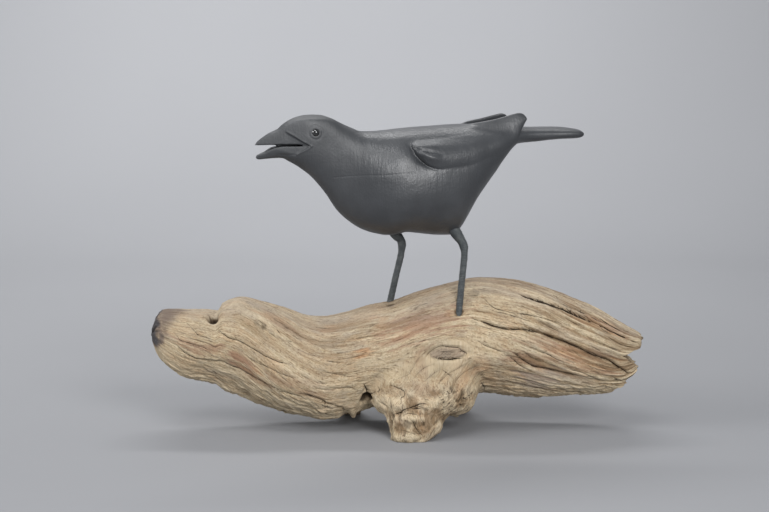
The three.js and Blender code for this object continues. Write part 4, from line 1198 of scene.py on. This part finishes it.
bare_paint = bpy.data.materials.new("unfinished")
carving = mesh_piece("crow_carving", in_place(body_points), body_faces, bare_paint)
cutters = [
    prism(MOUTH, lambda x: -CLEAR, lambda x: CLEAR), prism(MOUTH_SLOT, lambda x: WEB_HALF, lambda x: CLEAR),
    prism(MOUTH_SLOT, lambda x: -WEB_HALF, lambda x: -CLEAR), prism(BILL_SIDE, bill_half, lambda x: CLEAR),
    prism(BILL_SIDE, lambda x: -bill_half(x), lambda x: -CLEAR),
]
for points, faces in cutters:
    tool = mesh_piece("chisel", in_place(points), faces, bare_paint)
    tool_mesh = bmesh.new()
    tool_mesh.from_mesh(tool.data)
    bmesh.ops.recalc_face_normals(tool_mesh, faces=tool_mesh.faces)
    tool_mesh.to_mesh(tool.data)
    tool_mesh.free()
    cut_away = carving.modifiers.new("cut", "BOOLEAN")
    cut_away.operation = "DIFFERENCE"
    cut_away.solver = "EXACT"
    cut_away.object = tool
    baked(carving)
    bpy.data.objects.remove(tool)
wings = [
    mesh_piece("right_wing", in_place(right_points), wing_faces, bare_paint),
    mesh_piece("left_wing", in_place(left_points), facing_out(left_points, wing_faces), bare_paint),
]
whole = bmesh.new()
for part in (carving, *wings):
    whole.from_mesh(part.data)
whole.to_mesh(carving.data)
whole.free()
for part in wings:
    bpy.data.objects.remove(part)
rough = carving.modifiers.new("one_block", "REMESH")
rough.mode = "VOXEL"
rough.voxel_size = CARVING_STEP / 1000
baked(carving)
sanded = carving.modifiers.new("sanded", "SMOOTH")
sanded.factor = 0.5
sanded.iterations = 3
baked(carving)

# What the knife leaves on the carving, in the crow's own frame: the lids round the eyes, the seam between
# the head's block and the body's, the rim of the bill, the two knuckles of the wing's shoulder, and shallow
# facets all over.
count = len(carving.data.vertices)
carved = np.empty(count * 3, np.float32)
carving.data.vertices.foreach_get("co", carved)
carved = carved.reshape(-1, 3) * 1000.0
facing = np.empty(count * 3, np.float32)
carving.data.vertex_normals.foreach_get("vector", facing)
facing = facing.reshape(-1, 3)
own = (carved - crow_origin) @ crow_turn.T
own_facing = facing @ crow_turn.T
EYE_OUT = 18.9  # mm from the crow's middle to the middle of each eye
from_eye = own - np.array([EYE_ALONG, 0, EYE_UP]) - np.sign(own[:, 1:2]) * (0, EYE_OUT, 0)
eye_far = np.linalg.norm(from_eye, axis=1)
lift = 0.32 * bell((eye_far - 6.4) / 0.8) - 0.25 * bell((eye_far - 8.2) / 1.2)
on_wing = smooth(np.abs(own_facing[:, 1]), 0.3, 0.6)


def from_line(route):
    """How far each point is from a line drawn on the crow's side, in x and z."""
    steps = np.linspace(0, len(route) - 1, 120)
    line = through([(i, *spot) for i, spot in enumerate(route)])(steps)
    low, high = line.min(axis=0) - 12, line.max(axis=0) + 12
    near = np.all((own[:, (0, 2)] > low) & (own[:, (0, 2)] < high), axis=1)
    gaps = np.full(count, 99.0)
    sides = own[near][:, None, (0, 2)] - line[None]
    gaps[near] = np.linalg.norm(sides, axis=2).min(axis=1)
    return gaps


# Each line is its height over the carving, its half width, and its route on the crow's side. The wide ones
# are the gouge's, and they run out towards the tail.
KNIFE_LINES = [
    (-0.35, 0.6, [(-128, 76.5), (-117, 77.6), (-91, 79.5), (-75, 79.6), (-57, 81.3), (-38, 83)]),
    (0.4, 0.8, [(-181, 130.6), (-172.5, 125.4), (-165.4, 120.4), (-158.2, 116.4), (-153.2, 113.6)]),
    (0.5, 0.8, [(-153.2, 113.6), (-157.2, 110.4), (-162, 107.8), (-169.5, 104)]),
    (-0.6, 1.1, [(-171, 103.6), (-178, 103.4), (-188, 103.8)]),
    (1.2, 3.6, [(-34, 113.6), (-26, 112.8), (-12, 112), (6, 111)]),
    (-1.5, 2.6, [(-37, 109.6), (-26, 107), (-14, 105), (4, 102)]),
    (1.3, 3.8, [(-28, 103.6), (-20, 99.8), (-10, 97.6), (8, 95)]),
]
for rise, half_width, route in KNIFE_LINES:
    ends = 1 - smooth(own[:, 0], -22, 2) if half_width > 2 else 1.0
    lift += rise * bell(from_line(route) / half_width) * on_wing * ends
lift += 0.16 * noise(own / (26, 15, 11), 61) + 0.06 * noise(own / (7, 5, 9), 62)
carved = carved + facing * lift[:, None]
carving.data.vertices.foreach_set("co", (carved / 1000).astype(np.float32).ravel())
carving.data.update()
CARVING_TRIANGLES = 185000
triangles = sum(len(face.vertices) - 2 for face in carving.data.polygons)
if triangles > CARVING_TRIANGLES:
    thinned = carving.modifiers.new("thinned", "DECIMATE")
    thinned.ratio = CARVING_TRIANGLES / triangles
    baked(carving)
carving.data.shade_smooth()

# Satin black paint, brushed over carved wood: charcoal grey where it catches the light, with the wood's
# grain and the strokes of the brush just showing in the sheen.
black_paint, paint_tree = new_material("satin_black_paint")
paint_spots = add(paint_tree, "ShaderNodeTexCoord")
crow_place = {
    "Vector": paint_spots["Object"], "Location": tuple(crow_origin / 1000),
    "Rotation": (0.0, 0.0, math.atan2(crow_ahead[1], crow_ahead[0])),
}
level = add(paint_tree, "ShaderNodeMapping", crow_place, vector_type="TEXTURE")
# Brush strokes run up and down the breast, about 1.5 mm apart. Each pattern is its lattice steps per metre
# along the crow's own X, Y and Z, and its detail.
PAINT_PATTERNS = {
    "strokes": ((560.0, 200.0, 55.0), 3.0),
    "cloudy": ((26.0, 26.0, 26.0), 4.0),
    "specks": ((380.0, 380.0, 380.0), 3.0),
}
painted = {}
for name, (steps_per_metre, detail) in PAINT_PATTERNS.items():
    stretch = add(paint_tree, "ShaderNodeMapping", {"Vector": level, "Scale": steps_per_metre})
    drawn = add(
        paint_tree, "ShaderNodeTexNoise",
        {"Vector": stretch, "Scale": 1.0, "Detail": detail, "Roughness": 0.55},
    )
    painted[name] = drawn
paint_shade = add(
    paint_tree, "ShaderNodeValToRGB", {"Fac": painted["cloudy"]},
    stops=[(0.3, "#2C2E31"), (0.5, "#313336"), (0.72, "#3A3C3F")],
)
sheen_range = add(
    paint_tree, "ShaderNodeMapRange",
    {"Value": painted["cloudy"], "From Min": 0.3, "From Max": 0.7, "To Min": 0.47, "To Max": 0.38},
)
# The paint is duller on the neck, where hands haven't rubbed it.
level_parts = add(paint_tree, "ShaderNodeSeparateXYZ", {"Vector": level})
neck_dull = add(
    paint_tree, "ShaderNodeMapRange",
    {"Value": level_parts["X"], "From Min": -0.118, "From Max": -0.084, "To Min": 0.13, "To Max": 0.0},
    interpolation_type="SMOOTHSTEP",
)
sheen = add(paint_tree, "ShaderNodeMath", {0: sheen_range, 1: neck_dull}, operation="ADD")
paint_height = add(
    paint_tree, "ShaderNodeMath", {0: painted["strokes"], 1: 1.0, 2: painted["specks"]},
    operation="MULTIPLY_ADD",
)
paint_bump = add(paint_tree, "ShaderNodeBump", {"Height": paint_height, "Strength": 0.4, "Distance": 0.0008})
paint_skin = add(
    paint_tree, "ShaderNodeBsdfPrincipled",
    {"Base Color": paint_shade, "Roughness": sheen, "IOR": 1.68, "Normal": paint_bump},
)
add(paint_tree, "ShaderNodeOutputMaterial", {"Surface": paint_skin})
carving.data.materials.clear()
carving.data.materials.append(black_paint)
bpy.data.materials.remove(bare_paint)
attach(carving, "root")
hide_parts("crow_body")

# ---- Eyes ----
# Two ready-made eyes of black glass, pushed into sockets and held by a lid of filler. Each is a ball whose
# front swells a little.
EYE_RADIUS = 5.2  # mm
CORNEA_RISE = 0.25

# Black blown glass, fire-polished, so the eyes show sharp reflections.
eye_glass, glass_tree = new_material("black_blown_glass")
glass_spots = add(glass_tree, "ShaderNodeTexCoord")
glass_cloud = add(
    glass_tree, "ShaderNodeTexNoise", {"Vector": glass_spots["Object"], "Scale": 500.0, "Detail": 2.0}
)
glass_shade = add(
    glass_tree, "ShaderNodeValToRGB", {"Fac": glass_cloud}, stops=[(0.35, "#050506"), (0.65, "#0B0B0C")]
)
glass_haze = add(
    glass_tree, "ShaderNodeMapRange",
    {"Value": glass_cloud, "From Min": 0.3, "From Max": 0.7, "To Min": 0.03, "To Max": 0.07},
)
glass_skin = add(
    glass_tree, "ShaderNodeBsdfPrincipled",
    {"Base Color": glass_shade, "Roughness": glass_haze, "IOR": 1.6, "Coat Weight": 1.0},
)
add(glass_tree, "ShaderNodeOutputMaterial", {"Surface": glass_skin})

eye_tilts = np.radians(np.linspace(3, 177, 40))
eye_turns = 2 * np.pi * np.arange(64) / 64
tilt, turn = np.meshgrid(eye_tilts, eye_turns, indexing="ij")
radius = EYE_RADIUS - CORNEA_RISE + CORNEA_RISE * bell(np.degrees(tilt) / 38)
round_eye = radius * np.sin(tilt)
for node, side in {"left_eye": -1, "right_eye": 1}.items():
    ball = np.stack(
        [round_eye * np.cos(turn), side * radius * np.cos(tilt), round_eye * np.sin(turn)], axis=-1
    )
    front = np.array([0.0, side * EYE_RADIUS, 0.0])
    back = np.array([0.0, side * (CORNEA_RISE - EYE_RADIUS), 0.0])
    points, faces = capped_grid(ball, front, back)
    eye_place = in_place(points + np.array([EYE_ALONG, side * EYE_OUT, EYE_UP]))
    eye = mesh_piece(node + "_glass", eye_place, facing_out(points, faces), eye_glass)
    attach(eye, "root")
    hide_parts(node)
